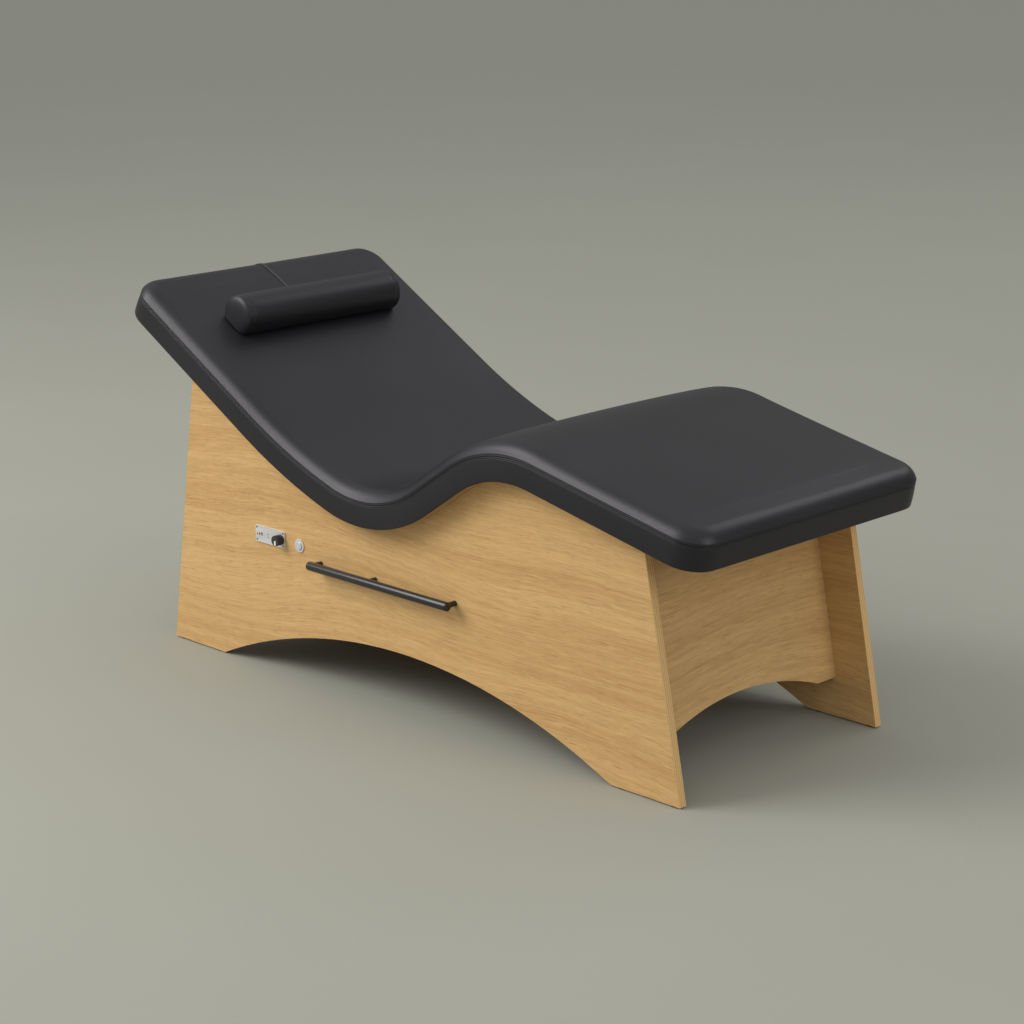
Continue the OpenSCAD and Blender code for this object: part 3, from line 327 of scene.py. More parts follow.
FINISHES = {
    "oak_side": oak_veneer("oak_veneer_side", X, Y),
    "oak_end": oak_veneer("oak_veneer_end", Y, X),
    "beech": plain_wood("planed_beech", *BEECH, Y),
    "beech_post": plain_wood("planed_beech_post", *BEECH, Z),
    "board": plain_wood("birch_board", (0.50, 0.33, 0.17), (0.34, 0.20, 0.09), X),
    "cover": leatherette(),
    "thread": thread(),
    "elastic": coated("woven_elastic", (0.030, 0.030, 0.032), 0.62, 1400, 0.5),
    "black": coated("satin_black_coat", (0.012, 0.0115, 0.0125), 0.27),
    "knob": coated("knob_moulding", (0.022, 0.022, 0.024), 0.42, 1500),
    "white": coated("white_inlay", (0.78, 0.78, 0.76), 0.45),
    "ink": coated("dark_print", (0.030, 0.030, 0.032), 0.55),
    "glide": coated("glide_moulding", (0.016, 0.016, 0.017), 0.6),
    "plastic": coated("dark_moulding", (0.055, 0.055, 0.060), 0.5),
    "inlet": coated("inlet_moulding", (0.016, 0.016, 0.017), 0.3),
    "circuit": coated("solder_mask", (0.020, 0.110, 0.050), 0.35, 300),
    "cable": coated("cable_jacket", (0.015, 0.015, 0.016), 0.5),
    "clip": coated("nylon_clip", (0.70, 0.70, 0.66), 0.45),
    "fleece": coated("heating_fleece", (0.50, 0.17, 0.07), 0.9, 600, 0.6),
    "plate": metal("brushed_plate", SILVER, 0.40, (0.02, 1, 1), 2600, 0.5),
    "screw": metal("darkened_steel", (0.26, 0.26, 0.27), 0.45),
    "zinc": metal("zinc_plated_steel", (0.60, 0.61, 0.63), 0.36),
    "brass": metal("contact_brass", (0.78, 0.60, 0.28), 0.25),
}


# ---- Making pieces ----


def piece(name, points, faces, finish, body, smooth=True):
    """A new mesh with its finish and, where one is named, its body."""
    mesh = bpy.data.meshes.new(name)
    mesh.from_pydata([tuple(p) for p in points], [], [tuple(f) for f in faces])
    mesh.validate()
    mesh.materials.append(FINISHES[finish])
    mesh.polygons.foreach_set("use_smooth", [smooth] * len(mesh.polygons))
    made = bpy.data.objects.new(name, mesh)
    bpy.context.scene.collection.objects.link(made)
    outward(made)
    if body:
        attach(made, body)
    return made


def outward(made):
    """Turns the faces of a closed or nearly closed mesh to the outside."""
    work = bmesh.new()
    work.from_mesh(made.data)
    bmesh.ops.recalc_face_normals(work, faces=work.faces)
    work.to_mesh(made.data)
    work.free()


def refine(made, levels):
    """Adds a subdivision surface and applies it."""
    modifier = made.modifiers.new("refine", "SUBSURF")
    modifier.levels = modifier.render_levels = levels
    applied(made)


def applied(made):
    """Replaces the mesh by what its modifiers make of it."""
    bpy.context.view_layer.update()
    shown = made.evaluated_get(bpy.context.evaluated_depsgraph_get())
    mesh = bpy.data.meshes.new_from_object(shown)
    old, made.data = made.data, mesh
    mesh.name = made.name
    made.modifiers.clear()
    bpy.data.meshes.remove(old)


SIM_FRAMES = 20
CLOTH = {"quality": 5, "mass": 0.06, "tension_stiffness": 12, "compression_stiffness": 12,
         "shear_stiffness": 6, "bending_stiffness": 2}
PRESSURE = 4
ROUNDS, INNER_ROUNDS = 12, 160
EVENING = 0.6


def blown(made, held, reach, inner=None):
    """Swells a cover over its filling, with its seams held and each point kept within reach."""
    mesh = made.data
    before = points_of(mesh)
    group = made.vertex_groups.new(name="held")
    group.add([int(i) for i in np.flatnonzero(held)], 1.0, "REPLACE")
    cloth = made.modifiers.new("cloth", "CLOTH")
    for key, value in CLOTH.items():
        setattr(cloth.settings, key, value)
    cloth.settings.vertex_group_mass = group.name
    cloth.settings.use_pressure = True
    cloth.settings.uniform_pressure_force = PRESSURE
    cloth.settings.effector_weights.gravity = 0
    cloth.point_cache.frame_start, cloth.point_cache.frame_end = 1, SIM_FRAMES
    for step in range(1, SIM_FRAMES + 1):
        bpy.context.scene.frame_set(step)
    shown = made.evaluated_get(bpy.context.evaluated_depsgraph_get())
    moved = points_of(shown.data) - before
    made.modifiers.clear()
    made.vertex_groups.clear()
    bpy.context.scene.frame_set(1)
    far = np.maximum(np.linalg.norm(moved, axis=1, keepdims=True), 1e-9)
    moved = calmed(mesh, moved * (reach * np.tanh(far / reach) / far), ~held, ROUNDS)
    if inner is not None:
        moved = calmed(mesh, moved, inner, INNER_ROUNDS)
    mesh.vertices.foreach_set("co", (before + moved).ravel())
    mesh.update()


def calmed(mesh, moved, free, rounds):
    """Evens out a movement between neighbours, the nearest most, so that it leaves no kinks."""
    ends = np.empty(len(mesh.edges) * 2, int)
    mesh.edges.foreach_get("vertices", ends)
    one, two = ends.reshape(-1, 2).T
    at = points_of(mesh)
    pull = 1 / np.maximum(np.linalg.norm(at[one] - at[two], axis=1), 0.1 * MM)[:, None]
    total = np.zeros((len(moved), 1))
    np.add.at(total, one, pull)
    np.add.at(total, two, pull)
    for _ in range(rounds):
        near = np.zeros_like(moved)
        np.add.at(near, one, moved[two] * pull)
        np.add.at(near, two, moved[one] * pull)
        evened = moved * (1 - EVENING) + near / total * EVENING
        moved = np.where(free[:, None], evened, moved)
    return moved


def points_of(mesh):
    flat = np.empty(len(mesh.vertices) * 3)
    mesh.vertices.foreach_get("co", flat)
    return flat.reshape(-1, 3)


EASE_ANGLE = radians(25)
SHARP_ANGLE = radians(20)
FLAT_ANGLE = radians(0.3)
SAME_PLACE = 0.01 * MM


def eased(node, ease, finish, body="base"):
    """A node's own shape with its sharp edges eased, in place of the node."""
    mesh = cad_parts[node].data.copy()
    mesh.attributes.remove(mesh.attributes["custom_normal"])
    mesh.materials.clear()
    mesh.materials.append(FINISHES[finish])
    work = bmesh.new()
    work.from_mesh(mesh)
    bmesh.ops.remove_doubles(work, verts=work.verts, dist=SAME_PLACE)
    bmesh.ops.dissolve_limit(work, angle_limit=FLAT_ANGLE, verts=work.verts, edges=work.edges)
    sharp = [e for e in work.edges
             if len(e.link_faces) == 2 and e.calc_face_angle(0) > EASE_ANGLE]
    bmesh.ops.bevel(work, geom=sharp, offset=ease, segments=2, profile=0.5,
                    affect="EDGES", clamp_overlap=True)
    for face in work.faces:
        face.smooth = True
        face.material_index = 0
    work.to_mesh(mesh)
    work.free()
    mesh.set_sharp_from_angle(angle=SHARP_ANGLE)
    made = bpy.data.objects.new(node + "_eased", mesh)
    bpy.context.scene.collection.objects.link(made)
    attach(made, body)
    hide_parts(node)


def dress(finish, *nodes):
    """Gives nodes whose shape is right a better finish."""
    for node in nodes:
        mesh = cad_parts[node].data
        mesh.materials.clear()
        mesh.materials.append(FINISHES[finish])


# ---- The wave of the mattress ----

# Straight legs and bends (radius times turn) from the head end, and the headings between them
LEG_LENGTHS = (0.498, 1.5 * radians(12), 0.37 * radians(52.3), 0.127,
               0.27 * radians(46.1), 0.460)
LEG_HEADINGS = (-30, -30, -18, 34.3, 34.3, -11.8, -11.8)
SEAT_UNDER = 0.432
WIDTH = 0.766
EDGE_HEIGHT = 0.086
CROWN = 0.004
CROWN_REACH = 0.160
CORNER_ROUND = 0.066
SEAM_HEIGHT = 0.053
WAVE_STEP = 0.0005

LENGTH = sum(LEG_LENGTHS)
leg_ends = np.concatenate([[0], np.cumsum(LEG_LENGTHS)])
wave_s = np.linspace(0, LENGTH, int(LENGTH / WAVE_STEP) + 1)
wave_heading = np.radians(np.interp(wave_s, leg_ends, LEG_HEADINGS))


def run_up(slope):
    """The running sum of a slope along the wave."""
    middle = (slope[1:] + slope[:-1]) / 2 * np.diff(wave_s)
    return np.concatenate([[0], np.cumsum(middle)])


wave_x, wave_z = run_up(np.cos(wave_heading)), run_up(np.sin(wave_heading))
wave_z += SEAT_UNDER - wave_z.min()
# How far along the wave the board's box starts
BOARD_INSET = 0.0023
wave_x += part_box("bed_board")[0][0] - np.interp(BOARD_INSET, wave_s, wave_x)


def wave(s, y, h):
    """Points in the frame, from lengths along the wave, places across it and heights off it."""
    s, y, h = np.broadcast_arrays(*(np.asarray(value, float) for value in (s, y, h)))
    inside = np.clip(s, 0, LENGTH)
    past = s - inside
    heading = np.interp(inside, wave_s, wave_heading)
    x = np.interp(inside, wave_s, wave_x) + past * np.cos(heading) - h * np.sin(heading)
    z = np.interp(inside, wave_s, wave_z) + past * np.sin(heading) + h * np.cos(heading)
    return np.stack([x, y, z], axis=-1)


# ---- Mattress ----

ACROSS = 30
ARC_STEPS = 8
ALONG = 118
LEAST_ROUND = 0.6 * CORNER_ROUND


def near_half(inset):
    """The outline's near half, from the head end to the foot end, as (s, y)."""
    r = max(CORNER_ROUND - inset, LEAST_ROUND)
    y = -(WIDTH / 2 - inset - r)
    turn = np.linspace(0, pi / 2, ARC_STEPS + 1)
    back = turn[::-1]
    head = np.stack([inset + r - r * np.cos(turn), y - r * np.sin(turn)], -1)
    foot = np.stack([LENGTH - inset - r + r * np.cos(back), y - r * np.sin(back)], -1)
    share = np.linspace(0, 1, ALONG + 2)[1:-1, None]
    side = head[-1] * (1 - share) + foot[0] * share
    return np.concatenate([head, side, foot])


def sheet_points(inset):
    """Rows of points from the outline's near half to its far half, each point as (s, y)."""
    near = near_half(inset)
    share = np.linspace(1, -1, ACROSS + 1)
    return np.stack([np.repeat(near[:, :1], ACROSS + 1, 1), near[:, 1:] * share], -1)


def border_index():
    """Indices of a sheet's border, once round, as rows and columns."""
    rows, columns = 2 * (ARC_STEPS + 1) + ALONG, ACROSS + 1
    near = [(i, 0) for i in range(rows)]
    foot = [(rows - 1, j) for j in range(1, columns)]
    far = [(i, columns - 1) for i in range(rows - 2, -1, -1)]
    head = [(0, j) for j in range(columns - 2, 0, -1)]
    return np.array(near + foot + far + head)


BORDER = border_index()


def crown(s, y):
    """How much the filling rises over the board, from nothing at the outline."""
    rise = CROWN
    for inset in (s, LENGTH - s, WIDTH / 2 - np.abs(y)):
        rise = rise * np.sin(np.clip(inset / CROWN_REACH, 0, 1) * pi / 2)
    return rise


def ring(inset, height, crowned=1):
    """One ring round the mattress at an inset and a height, in the frame."""
    s, y = sheet_points(inset)[BORDER[:, 0], BORDER[:, 1]].T
    return wave(s, y, height + crowned * crown(s, y))


def ring_faces(first, second, count):
    """The faces between two rings, by the index of each one's first point."""
    turn = [(k, (k + 1) % count) for k in range(count)]
    return [(first + k, first + m, second + m, second + k) for k, m in turn]


def stacked_faces(rings, count):
    """The faces between rings that follow one another."""
    return [face for i in range(rings - 1)
            for face in ring_faces(i * count, (i + 1) * count, count)]


STITCH_FROM_SEAM = 4.3 * MM
# From the seam upwards, as (inset, height off the seam) in millimetres
SEAM_SECTION = ((2.6, 0.10), (1.3, 0.2), (0.5, 0.6), (0.15, 1.4), (0.1, 2.8), (0.5, 3.8),
                (0.9, 4.3), (0.5, 4.8), (0.1, 5.8), (0.3, 6.8))
ROLL_WIDE = 29 * MM
ROLL_FROM = 57 * MM
ROLL_TURNS = np.linspace(0.15, 1, 11) * pi / 2
PAD_RINGS = (0.038, 0.047, 0.058)
PAD_RING = 0.072
SWELL = 4 * MM
# How much lower and flatter the top starts, which its swelling makes up for
LOW_START = 1.5 * MM
CROWN_START = 0.3
LOW_INWARDS = 0.7


def pad_height(inset):
    """The height of the roll at an inset, without the crown."""
    share = 1 - inset / ROLL_WIDE
    return ROLL_FROM + (EDGE_HEIGHT - ROLL_FROM) * sqrt(1 - share ** 2)


def mattress_top():
    """The sewn top of the cover: up from the seam, round the edge and over the crown."""
    low, crowned = ((LOW_START, CROWN_START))
    section = [(inset * MM, SEAM_HEIGHT + height * MM) for inset, height in SEAM_SECTION]
    for turn in ROLL_TURNS:
        inset = ROLL_WIDE * (1 - cos(turn))
        section.append((inset + low * LOW_INWARDS, pad_height(inset) - low * sin(turn)))
    section += [(inset, EDGE_HEIGHT - low) for inset in PAD_RINGS]
    count = len(BORDER)
    points = [ring(inset, height, crowned) for inset, height in section]
    faces = stacked_faces(len(section), count)
    # The sheet inside the last ring
    flat = sheet_points(PAD_RING)
    rows, columns = flat.shape[:2]
    s, y = flat.reshape(-1, 2).T
    points.append(wave(s, y, EDGE_HEIGHT - low + crowned * crown(s, y)))
    index = len(section) * count + np.arange(rows * columns).reshape(rows, columns)
    edge = index[BORDER[:, 0], BORDER[:, 1]]
    last = (len(section) - 1) * count
    for k in range(count):
        m = (k + 1) % count
        faces.append((last + k, last + m, edge[m], edge[k]))
    for i in range(rows - 1):
        for j in range(columns - 1):
            faces.append((index[i, j], index[i, j + 1], index[i + 1, j + 1], index[i + 1, j]))
    top = piece("mattress_top", np.concatenate(points), faces, "cover", None)
    place = np.arange(len(top.data.vertices))
    held = place < len(SEAM_SECTION) * count
    inner = place >= (len(section) - len(PAD_RINGS)) * count
    blown(top, held, SWELL, inner)
    refine(top, 1)
    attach(top, "base")
    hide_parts("cover_top", "foam_top")
    return top


# From the hem under the board upwards, as (inset, height off the board's underside) in millimetres
BAND_SECTION = ((9.0, -0.5), (8.0, -1.3), (2.5, -1.4), (0.7, -1.1), (0.05, -0.1), (-0.15, 2.0),
                (-0.5, 9.0), (-0.8, 20.0), (-0.7, 32.0), (-0.3, 41.0))


def mattress_band():
    """The cover's side band: from the hem under the board up to the seam."""
    section = [(inset * MM, height * MM) for inset, height in BAND_SECTION]
    section += [(inset * MM, SEAM_HEIGHT - height * MM)
                for inset, height in reversed(SEAM_SECTION)]
    points = np.concatenate([ring(*place, crowned=0) for place in section])
    faces = stacked_faces(len(section), len(BORDER))
    band = piece("mattress_band", points, faces, "cover", None)
    refine(band, 1)
    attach(band, "base")
    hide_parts("cover_band", "foam_base")
    return band


# ---- Stitches ----

STITCH_PITCH = 6.4 * MM
STITCH_LENGTH = 4.8 * MM
THREAD_R = 0.42 * MM
THREAD_SIDES = 6
# The rings of one stitch: (place along its length, thickness, lift off the cover)
STITCH_RINGS = ((-0.5, 0.25, -0.9), (-0.3, 0.9, 0.1), (0.0, 1.0, 0.45), (0.3, 0.9, 0.1),
                (0.5, 0.25, -0.9))


def tube_faces(rings, count):
    """The faces of rings that follow one another, closed at both ends."""
    last = (rings - 1) * count
    ends = [list(range(count)), [last + k for k in reversed(range(count))]]
    return stacked_faces(rings, count) + ends


def between(at, run, values):
    """The value at a length along a path, from the values at its points."""
    return np.array([np.interp(at, run, values[:, i]) for i in range(3)])


def stitches(name, paths, body, pitch=STITCH_PITCH):
    """Rows of stitches along paths, each path a (points, outward normals) pair."""
    points, faces = [], []
    for line, normals in paths:
        steps = np.linalg.norm(np.diff(line, axis=0), axis=1)
        run = np.concatenate([[0], np.cumsum(steps)])
        number = int(run[-1] / pitch)
        for k in range(number):
            at = (k + 0.5) * run[-1] / number
            centre, out = between(at, run, line), between(at, run, normals)
            ahead = between(min(at + STITCH_LENGTH / 2, run[-1]), run, line)
            behind = between(max(at - STITCH_LENGTH / 2, 0), run, line)
            tangent = (ahead - behind) / np.linalg.norm(ahead - behind)
            out -= tangent * out.dot(tangent)
            out /= np.linalg.norm(out)
            side = np.cross(tangent, out)
            base = len(points)
            for place, width, lift in STITCH_RINGS:
                for turn in np.arange(THREAD_SIDES) * 2 * pi / THREAD_SIDES:
                    off = out * (lift + cos(turn) * width) + side * sin(turn) * width
                    points.append(centre + tangent * place * STITCH_LENGTH + off * THREAD_R)
            faces += [[base + k for k in face]
                      for face in tube_faces(len(STITCH_RINGS), THREAD_SIDES)]
    piece(name, points, faces, "thread", body)


STITCH_INSET = 0.35 * MM


def seam_line(offset):
    """The line of a row of stitches round the mattress, with its outward directions."""
    line = ring(STITCH_INSET, SEAM_HEIGHT + offset)
    out = ring(-1 * MM, SEAM_HEIGHT + offset) - line
    line, out = (np.concatenate([values, values[:1]]) for values in (line, out))
    return line, out / np.linalg.norm(out, axis=1)[:, None]


# ---- Bolster ----

BOLSTER_AT = 0.228
BOLSTER_R = 0.050
BOLSTER_AXIS = 0.027
BOLSTER_L = 0.500
BOLSTER_FOOT = EDGE_HEIGHT + CROWN + 0.3 * MM
BOLSTER_SWELL = 3 * MM
ROUND_FROM = 0.44
# The softened edge between the roll and its flat foot, in millimetres
SOFT_EDGE = ((43.6, 2.3), (41.6, 0.6), (38.2, 0.0))
ROUND_STEPS = 44
FLAT_STEPS = 10
FOOT_ZONE = 4 * MM
FOOT_HELD = 1 * MM


def bolster_loop():
    """The bolster's section, down the slope and off the cover: a roll on a flat foot."""
    soft = [(x * MM, z * MM) for x, z in SOFT_EDGE]
    turns = np.linspace(-ROUND_FROM, pi + ROUND_FROM, ROUND_STEPS)
    arc = [(BOLSTER_R * cos(t), BOLSTER_AXIS + BOLSTER_R * sin(t)) for t in turns]
    flat = [(x, 0.0) for x in np.linspace(-soft[-1][0], soft[-1][0], FLAT_STEPS)[1:-1]]
    return np.array(soft[::-1] + arc + [(-x, z) for x, z in soft] + flat)


# From the end's middle inwards, as (share of the section, depth in millimetres)
CAP_SECTION = ((0.22, 0.0), (0.42, 0.5), (0.60, 1.3), (0.76, 2.7), (0.87, 4.8), (0.935, 7.6),
               (0.962, 10.0), (0.966, 11.4), (0.950, 12.0), (0.968, 12.6), (0.975, 14.4),
               (0.970, 16.2), (0.960, 16.8), (0.972, 17.4), (0.982, 19.2), (0.980, 22.0),
               (0.970, 22.6), (0.982, 23.2), (0.992, 27.0), (1.0, 40.0))
SEWN_FROM, SEWN_TO = 8, 17
SEAM_ROWS = ((16.8, 0.962), (22.6, 0.972))
SEAM_PITCH = 5.2 * MM
SEAM_STOP = 0.1
SEAM_POINTS = 70
BODY_SHARES = np.linspace(0, 1, 17)[1:-1]


def in_bolster(points):
    """From the bolster's own directions (down the slope, across, off the cover) to the frame."""
    slope = radians(LEG_HEADINGS[0])
    directions = ((cos(slope), 0, sin(slope)), (0, 1, 0), (-sin(slope), 0, cos(slope)))
    return wave(BOLSTER_AT, 0, BOLSTER_FOOT) + points @ np.array(directions)


def bolster():
    """The head bolster, with domed and sewn ends."""
    loop = bolster_loop()
    centre = np.array([0, BOLSTER_AXIS])
    half = BOLSTER_L / 2
    body_half = half - CAP_SECTION[-1][1] * MM
    near = [(share, -half + depth * MM) for share, depth in CAP_SECTION]
    middle = [(1.0, (2 * k - 1) * body_half) for k in BODY_SHARES]
    stations = near + middle + [(share, -y) for share, y in reversed(near)]
    points = []
    for share, y in stations:
        flat = centre + (loop - centre) * share
        flat[:, 1] = np.where(loop[:, 1] < FOOT_ZONE, loop[:, 1], flat[:, 1])
        points.append(np.stack([flat[:, 0], np.full(len(loop), y), flat[:, 1]], -1))
    count = len(loop)
    faces = stacked_faces(len(stations), count)
    ends = [[0, -half, BOLSTER_AXIS], [0, half, BOLSTER_AXIS]]
    first, top = len(stations) * count, (len(stations) - 1) * count
    faces += [(first, (k + 1) % count, k) for k in range(count)]
    faces += [(first + 1, top + k, top + (k + 1) % count) for k in range(count)]
    points = np.concatenate([*points, ends])
    body = piece("head_bolster", in_bolster(points), faces, "cover", None)
    held = points[:, 2] < FOOT_HELD
    sewn = [share for share, _ in CAP_SECTION[SEWN_FROM:SEWN_TO + 1]]
    for i, (share, _) in enumerate(stations):
        if share in sewn:
            held[i * count:(i + 1) * count] = True
    blown(body, held, BOLSTER_SWELL)
    refine(body, 1)
    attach(body, "bolster")
    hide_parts("bolster_cover", "bolster_foam", "bolster_piping")


def bolster_seam(side, depth, share):
    """A row of stitches round one end of the bolster, from foot to foot."""
    stop = ROUND_FROM - SEAM_STOP
    turn = np.linspace(-stop, pi + stop, SEAM_POINTS)
    r = share * BOLSTER_R
    y = np.full(len(turn), side * (BOLSTER_L / 2 - depth))
    line = np.stack([r * np.cos(turn), y, BOLSTER_AXIS + r * np.sin(turn)], -1)
    out = np.stack([np.cos(turn), np.zeros(len(turn)), np.sin(turn)], -1)
    return in_bolster(line), in_bolster(line + out) - in_bolster(line)


# ---- Strap ----

STRAP_WIDTH = 8 * MM
STRAP_THICK = 1.6 * MM
STRAP_OFF = 0.3 * MM
# It starts 1 mm inside the roll, measured where the roll is 0.5 mm off the cover
STRAP_FROM = BOLSTER_AT - sqrt(BOLSTER_R ** 2 - (BOLSTER_AXIS - 0.5 * MM) ** 2) + 1 * MM
STRAP_HELD = 0.036
STRAP_UNDER = (0.010, 0.022, 0.034, 0.046)
STRAP_SIDE = (0.044, 0.034, 0.022, 0.010)
STRAP_SECTION = ((-0.5, 0.2), (-0.44, 0.0), (0.44, 0.0), (0.5, 0.2), (0.5, 0.8), (0.42, 1.0),
                 (-0.42, 1.0), (-0.5, 0.8))
HEM_THICK = 1.5 * MM
HEM_ROUND = 1 * MM
IN_PAD = 0.060
ROLL_CENTRE = (ROLL_WIDE, 0.054)
RAY_LENGTH = 0.1
SKIN_REACH = 0.03
PAST_ROLL = 8 * MM
TOP_RAYS = 14
ROLL_RAYS = 11
LAST_RAY_TURN = 0.25
HEM_STEPS = 4


def skin_path(skins):
    """The pad's skin from the bolster round the head edge, as (s, height) and the way out."""
    trees = [BVHTree.FromPolygons([v.co for v in made.data.vertices],
                                  [p.vertices[:] for p in made.data.polygons]) for made in skins]
    # Rays from inside the pad: up, round the roll, and out to the side
    rays = [((s, IN_PAD), (0.0, 1.0))
            for s in np.linspace(STRAP_FROM, ROLL_WIDE + PAST_ROLL, TOP_RAYS)]
    rays += [(ROLL_CENTRE, (-cos(turn), sin(turn)))
             for turn in np.linspace(pi / 2, LAST_RAY_TURN, ROLL_RAYS)]
    rays += [((ROLL_WIDE, height), (-1.0, 0.0)) for height in STRAP_SIDE]
    path = []
    for (s, h), (out_s, out_h) in rays:
        inside = Vector(wave(s, 0, h))
        outside = Vector(wave(s + out_s * RAY_LENGTH, 0, h + out_h * RAY_LENGTH))
        way = (outside - inside).normalized()
        hits = [tree.ray_cast(inside + way * RAY_LENGTH, -way, RAY_LENGTH) for tree in trees]
        reach = max((RAY_LENGTH - hit[3] for hit in hits if hit[0]), default=SKIN_REACH)
        path.append((s + out_s * reach, h + out_h * reach, out_s, out_h))
    return path


def strap(skins):
    """The elastic strap from under the bolster over the head end to its stud under the board."""
    path = skin_path(skins)
    side = path[-1][0]
    for turn in np.linspace(0, pi / 2, HEM_STEPS):
        path.append((side + HEM_ROUND * (1 - cos(turn)), -HEM_THICK * sin(turn),
                     -cos(turn), -sin(turn)))
    path += [(s, -HEM_THICK, 0.0, -1.0) for s in STRAP_UNDER]
    points = []
    for s, h, out_s, out_h in path:
        for across, up in STRAP_SECTION:
            lift = STRAP_OFF + up * STRAP_THICK
            points.append(wave(s + out_s * lift, across * STRAP_WIDTH, h + out_h * lift))
    faces = tube_faces(len(path), len(STRAP_SECTION))
    band = piece("bolster_band", points, faces, "elastic", None)
    start, end = wave(STRAP_HELD, 0, EDGE_HEIGHT), wave(STRAP_FROM, 0, EDGE_HEIGHT)
    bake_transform(band)
    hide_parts("bolster_strap")


# ---- Controls ----

MARK_THICK = 0.12 * MM
# Three rising bars and two dots, in millimetres from the plate's head end and its middle height
BARS = ((4.5, 3.6), (12.5, 5.6), (20.5, 7.6))
BAR_WIDE = 4.2
BAR_FOOT = -3.0
DOT_AT = 45
DOT_HEIGHTS = (-3.6, 3.6)
DOT_R = 1.5
DOT_SIDES = 20


def level_marks():
    """Plain bars and dots, printed on the plate."""
    low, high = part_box("control_plate")
    face, middle = low[1], (low[2] + high[2]) / 2
    points, faces = [], []

    def mark(outline):
        base, count = len(points), len(outline)
        for y in (face - MARK_THICK, face + MARK_THICK):
            points.extend([(low[0] + x * MM, y, middle + z * MM) for x, z in outline])
        faces.extend([base + k for k in sides] for sides in tube_faces(2, count))

    for x, tall in BARS:
        end, top = x + BAR_WIDE, BAR_FOOT + tall
        mark([(x, BAR_FOOT), (end, BAR_FOOT), (end, top), (x, top)])
    for z in DOT_HEIGHTS:
        turns = [2 * pi * k / DOT_SIDES for k in range(DOT_SIDES)]
        mark([(DOT_AT + DOT_R * cos(turn), z + DOT_R * sin(turn)) for turn in turns])
    piece("level_marks", points, faces, "ink", "base", smooth=False)


# ---- Room and light ----

FLOOR_REACH = 60.0
FLOOR_DARK = (0.312, 0.312, 0.265)
FLOOR_LIGHT = (0.331, 0.331, 0.281)
FLOOR_FAR = (0.33, 0.33, 0.283)
FAR_FROM, FAR_TO = 3.0, 24.0
ROOM_LOW = (0.22, 0.22, 0.21)
ROOM_HIGH = (0.80, 0.81, 0.82)
LIGHTER_UP, DARKER_BACK = 0.75, 0.29
ROOM_FADE = (-0.05, 0.65)
# Soft lamps: (name, place, height that it is aimed at, size, power, tint)
LAMPS = (("key", (-3.8, -4.8, 4.9), 0.4, (4.4, 4.4), 420, (1.0, 0.985, 0.96)),
         ("foot_fill", (6.2, 0.8, 2.6), 0.4, (3.0, 2.5), 72, (1, 1, 1)),
         ("back_sheen", (0.9, 8.4, 7.0), 0.5, (5.6, 1.8), 95, (1, 1, 1)))


def room():
    """A plain pale floor, and walls that are lighter above and towards the front."""
    mesh = bpy.data.meshes.new("floor")
    corners = [(x * FLOOR_REACH, y * FLOOR_REACH, 0)
               for x, y in ((-1, -1), (1, -1), (1, 1), (-1, 1))]
    mesh.from_pydata(corners, [], [(0, 1, 2, 3)])
    floor = bpy.data.objects.new("floor", mesh)
    bpy.context.scene.collection.objects.link(floor)
    paint = Finish("floor_paint", Specular_IOR_Level=0.2)
    point, (x, y, _) = paint.place()
    away = (x * x + y * y).math("SQRT").over(FAR_FROM, FAR_TO)
    near = paint.mix(FLOOR_DARK, FLOOR_LIGHT, paint.noise(point, 1.1, 3))
    paint.colour(paint.mix(near, FLOOR_FAR, away))
    paint.roughness(0.85)
    mesh.materials.append(paint.material)
    world = bpy.data.worlds.new("room")
    bpy.context.scene.world = world
    world.use_nodes = True
    walls = Nodes(world.node_tree)
    direction = walls.node("ShaderNodeTexCoord", output="Generated")
    back, up = walls.numbers(direction)[1:]
    share = (up * LIGHTER_UP - back * DARKER_BACK).over(*ROOM_FADE)
    sky = world.node_tree.nodes["Background"]
    walls.set(sky, {"Color": walls.mix(ROOM_LOW, ROOM_HIGH, share)})


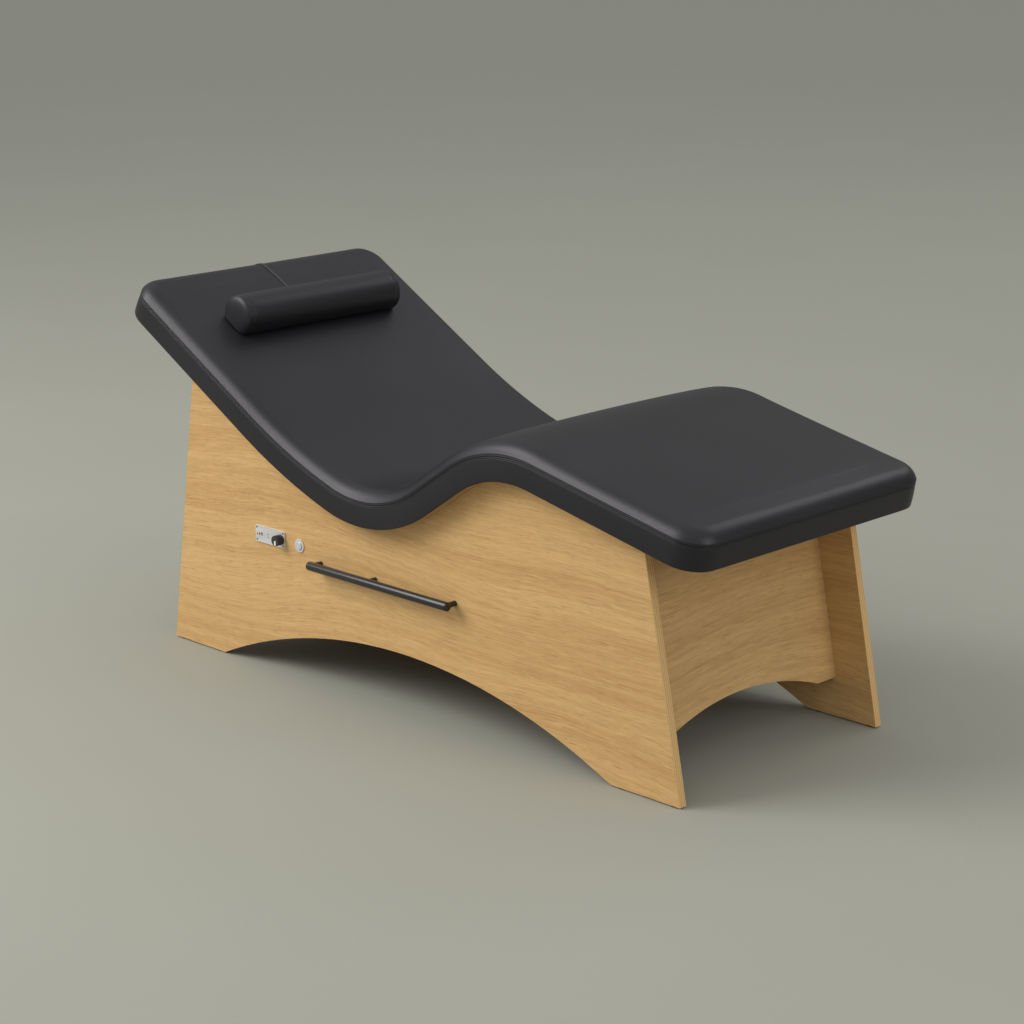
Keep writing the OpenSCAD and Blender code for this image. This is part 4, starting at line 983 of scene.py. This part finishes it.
def softbox(name, place, aim, size, power, tint):
    """A soft lamp aimed at a height over the middle of the floor."""
    lamp = bpy.data.lights.new(name, "AREA")
    lamp.shape = "RECTANGLE"
    lamp.size, lamp.size_y = size
    lamp.energy = power
    lamp.color = tint
    holder = bpy.data.objects.new(name, lamp)
    bpy.context.scene.collection.objects.link(holder)
    holder.location = place
    holder.rotation_mode = "QUATERNION"
    way = Vector((0, 0, aim)) - Vector(place)
    holder.rotation_quaternion = way.to_track_quat("-Z", "Y")


# ---- The whole ----

place_camera()
room()
for lamp in LAMPS:
    softbox(*lamp)

for side in ("near", "far"):
    eased("side_panel_" + side, 1.1 * MM, "oak_side")
for end in ("head", "foot"):
    eased("end_panel_" + end, 1.1 * MM, "oak_end")
    dress("beech_post", "corner_blocks_" + end)
dress("beech", "frame_dowels", "batten_head", "batten_back", "batten_seat", "batten_rise",
      "batten_foot")
dress("zinc", "block_screws", "batten_brackets", "bracket_screws", "board_screws",
      "glide_nails", "strap_stud", "rail_bolts", "switch_nut", "switch_shaft", "button_nut",
      "lid_screws", "circuit_screws", "box_screws", "inlet_screws")
dress("board", "bed_board")
dress("fleece", "heating_mat")
dress("plastic", "heat_switch", "button_switch", "control_box", "control_box_lid", "power_supply")
dress("circuit", "circuit_board")
dress("brass", "inlet_pins")
dress("cable", "cable_inlet", "cable_supply", "cable_heat_switch", "cable_button", "cable_heater")
dress("clip", "cable_clips")

pad = mattress_top(), mattress_band()
rows = [seam_line(STITCH_FROM_SEAM), seam_line(-STITCH_FROM_SEAM)]
stitches("mattress_stitches", rows, "base")
bolster()
rows = [bolster_seam(side, depth * MM, share) for side in (-1, 1) for depth, share in SEAM_ROWS]
stitches("bolster_stitches", rows, "bolster", SEAM_PITCH)
strap(pad)

eased("glides", 0.5 * MM, "glide")
eased("rail_bar", 0.3 * MM, "black")
eased("rail_posts", 0.5 * MM, "black")
eased("control_plate", 0.4 * MM, "plate")
eased("plate_screws", 0.2 * MM, "screw")
eased("heat_knob", 0.5 * MM, "knob", "knob")
eased("knob_pointer", 0.1 * MM, "white", "knob")
middle = [(low + high) / 2 for low, high in zip(*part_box("button_bezel"))]
FINISHES["button"] = turned_metal("turned_button", SILVER, 0.30, middle)
eased("button_bezel", 0.5 * MM, "button")
eased("button_cap", 0.5 * MM, "button", "button")
eased("mains_inlet", 0.4 * MM, "inlet")
level_marks()

bpy.context.scene.view_settings.view_transform = "Standard"
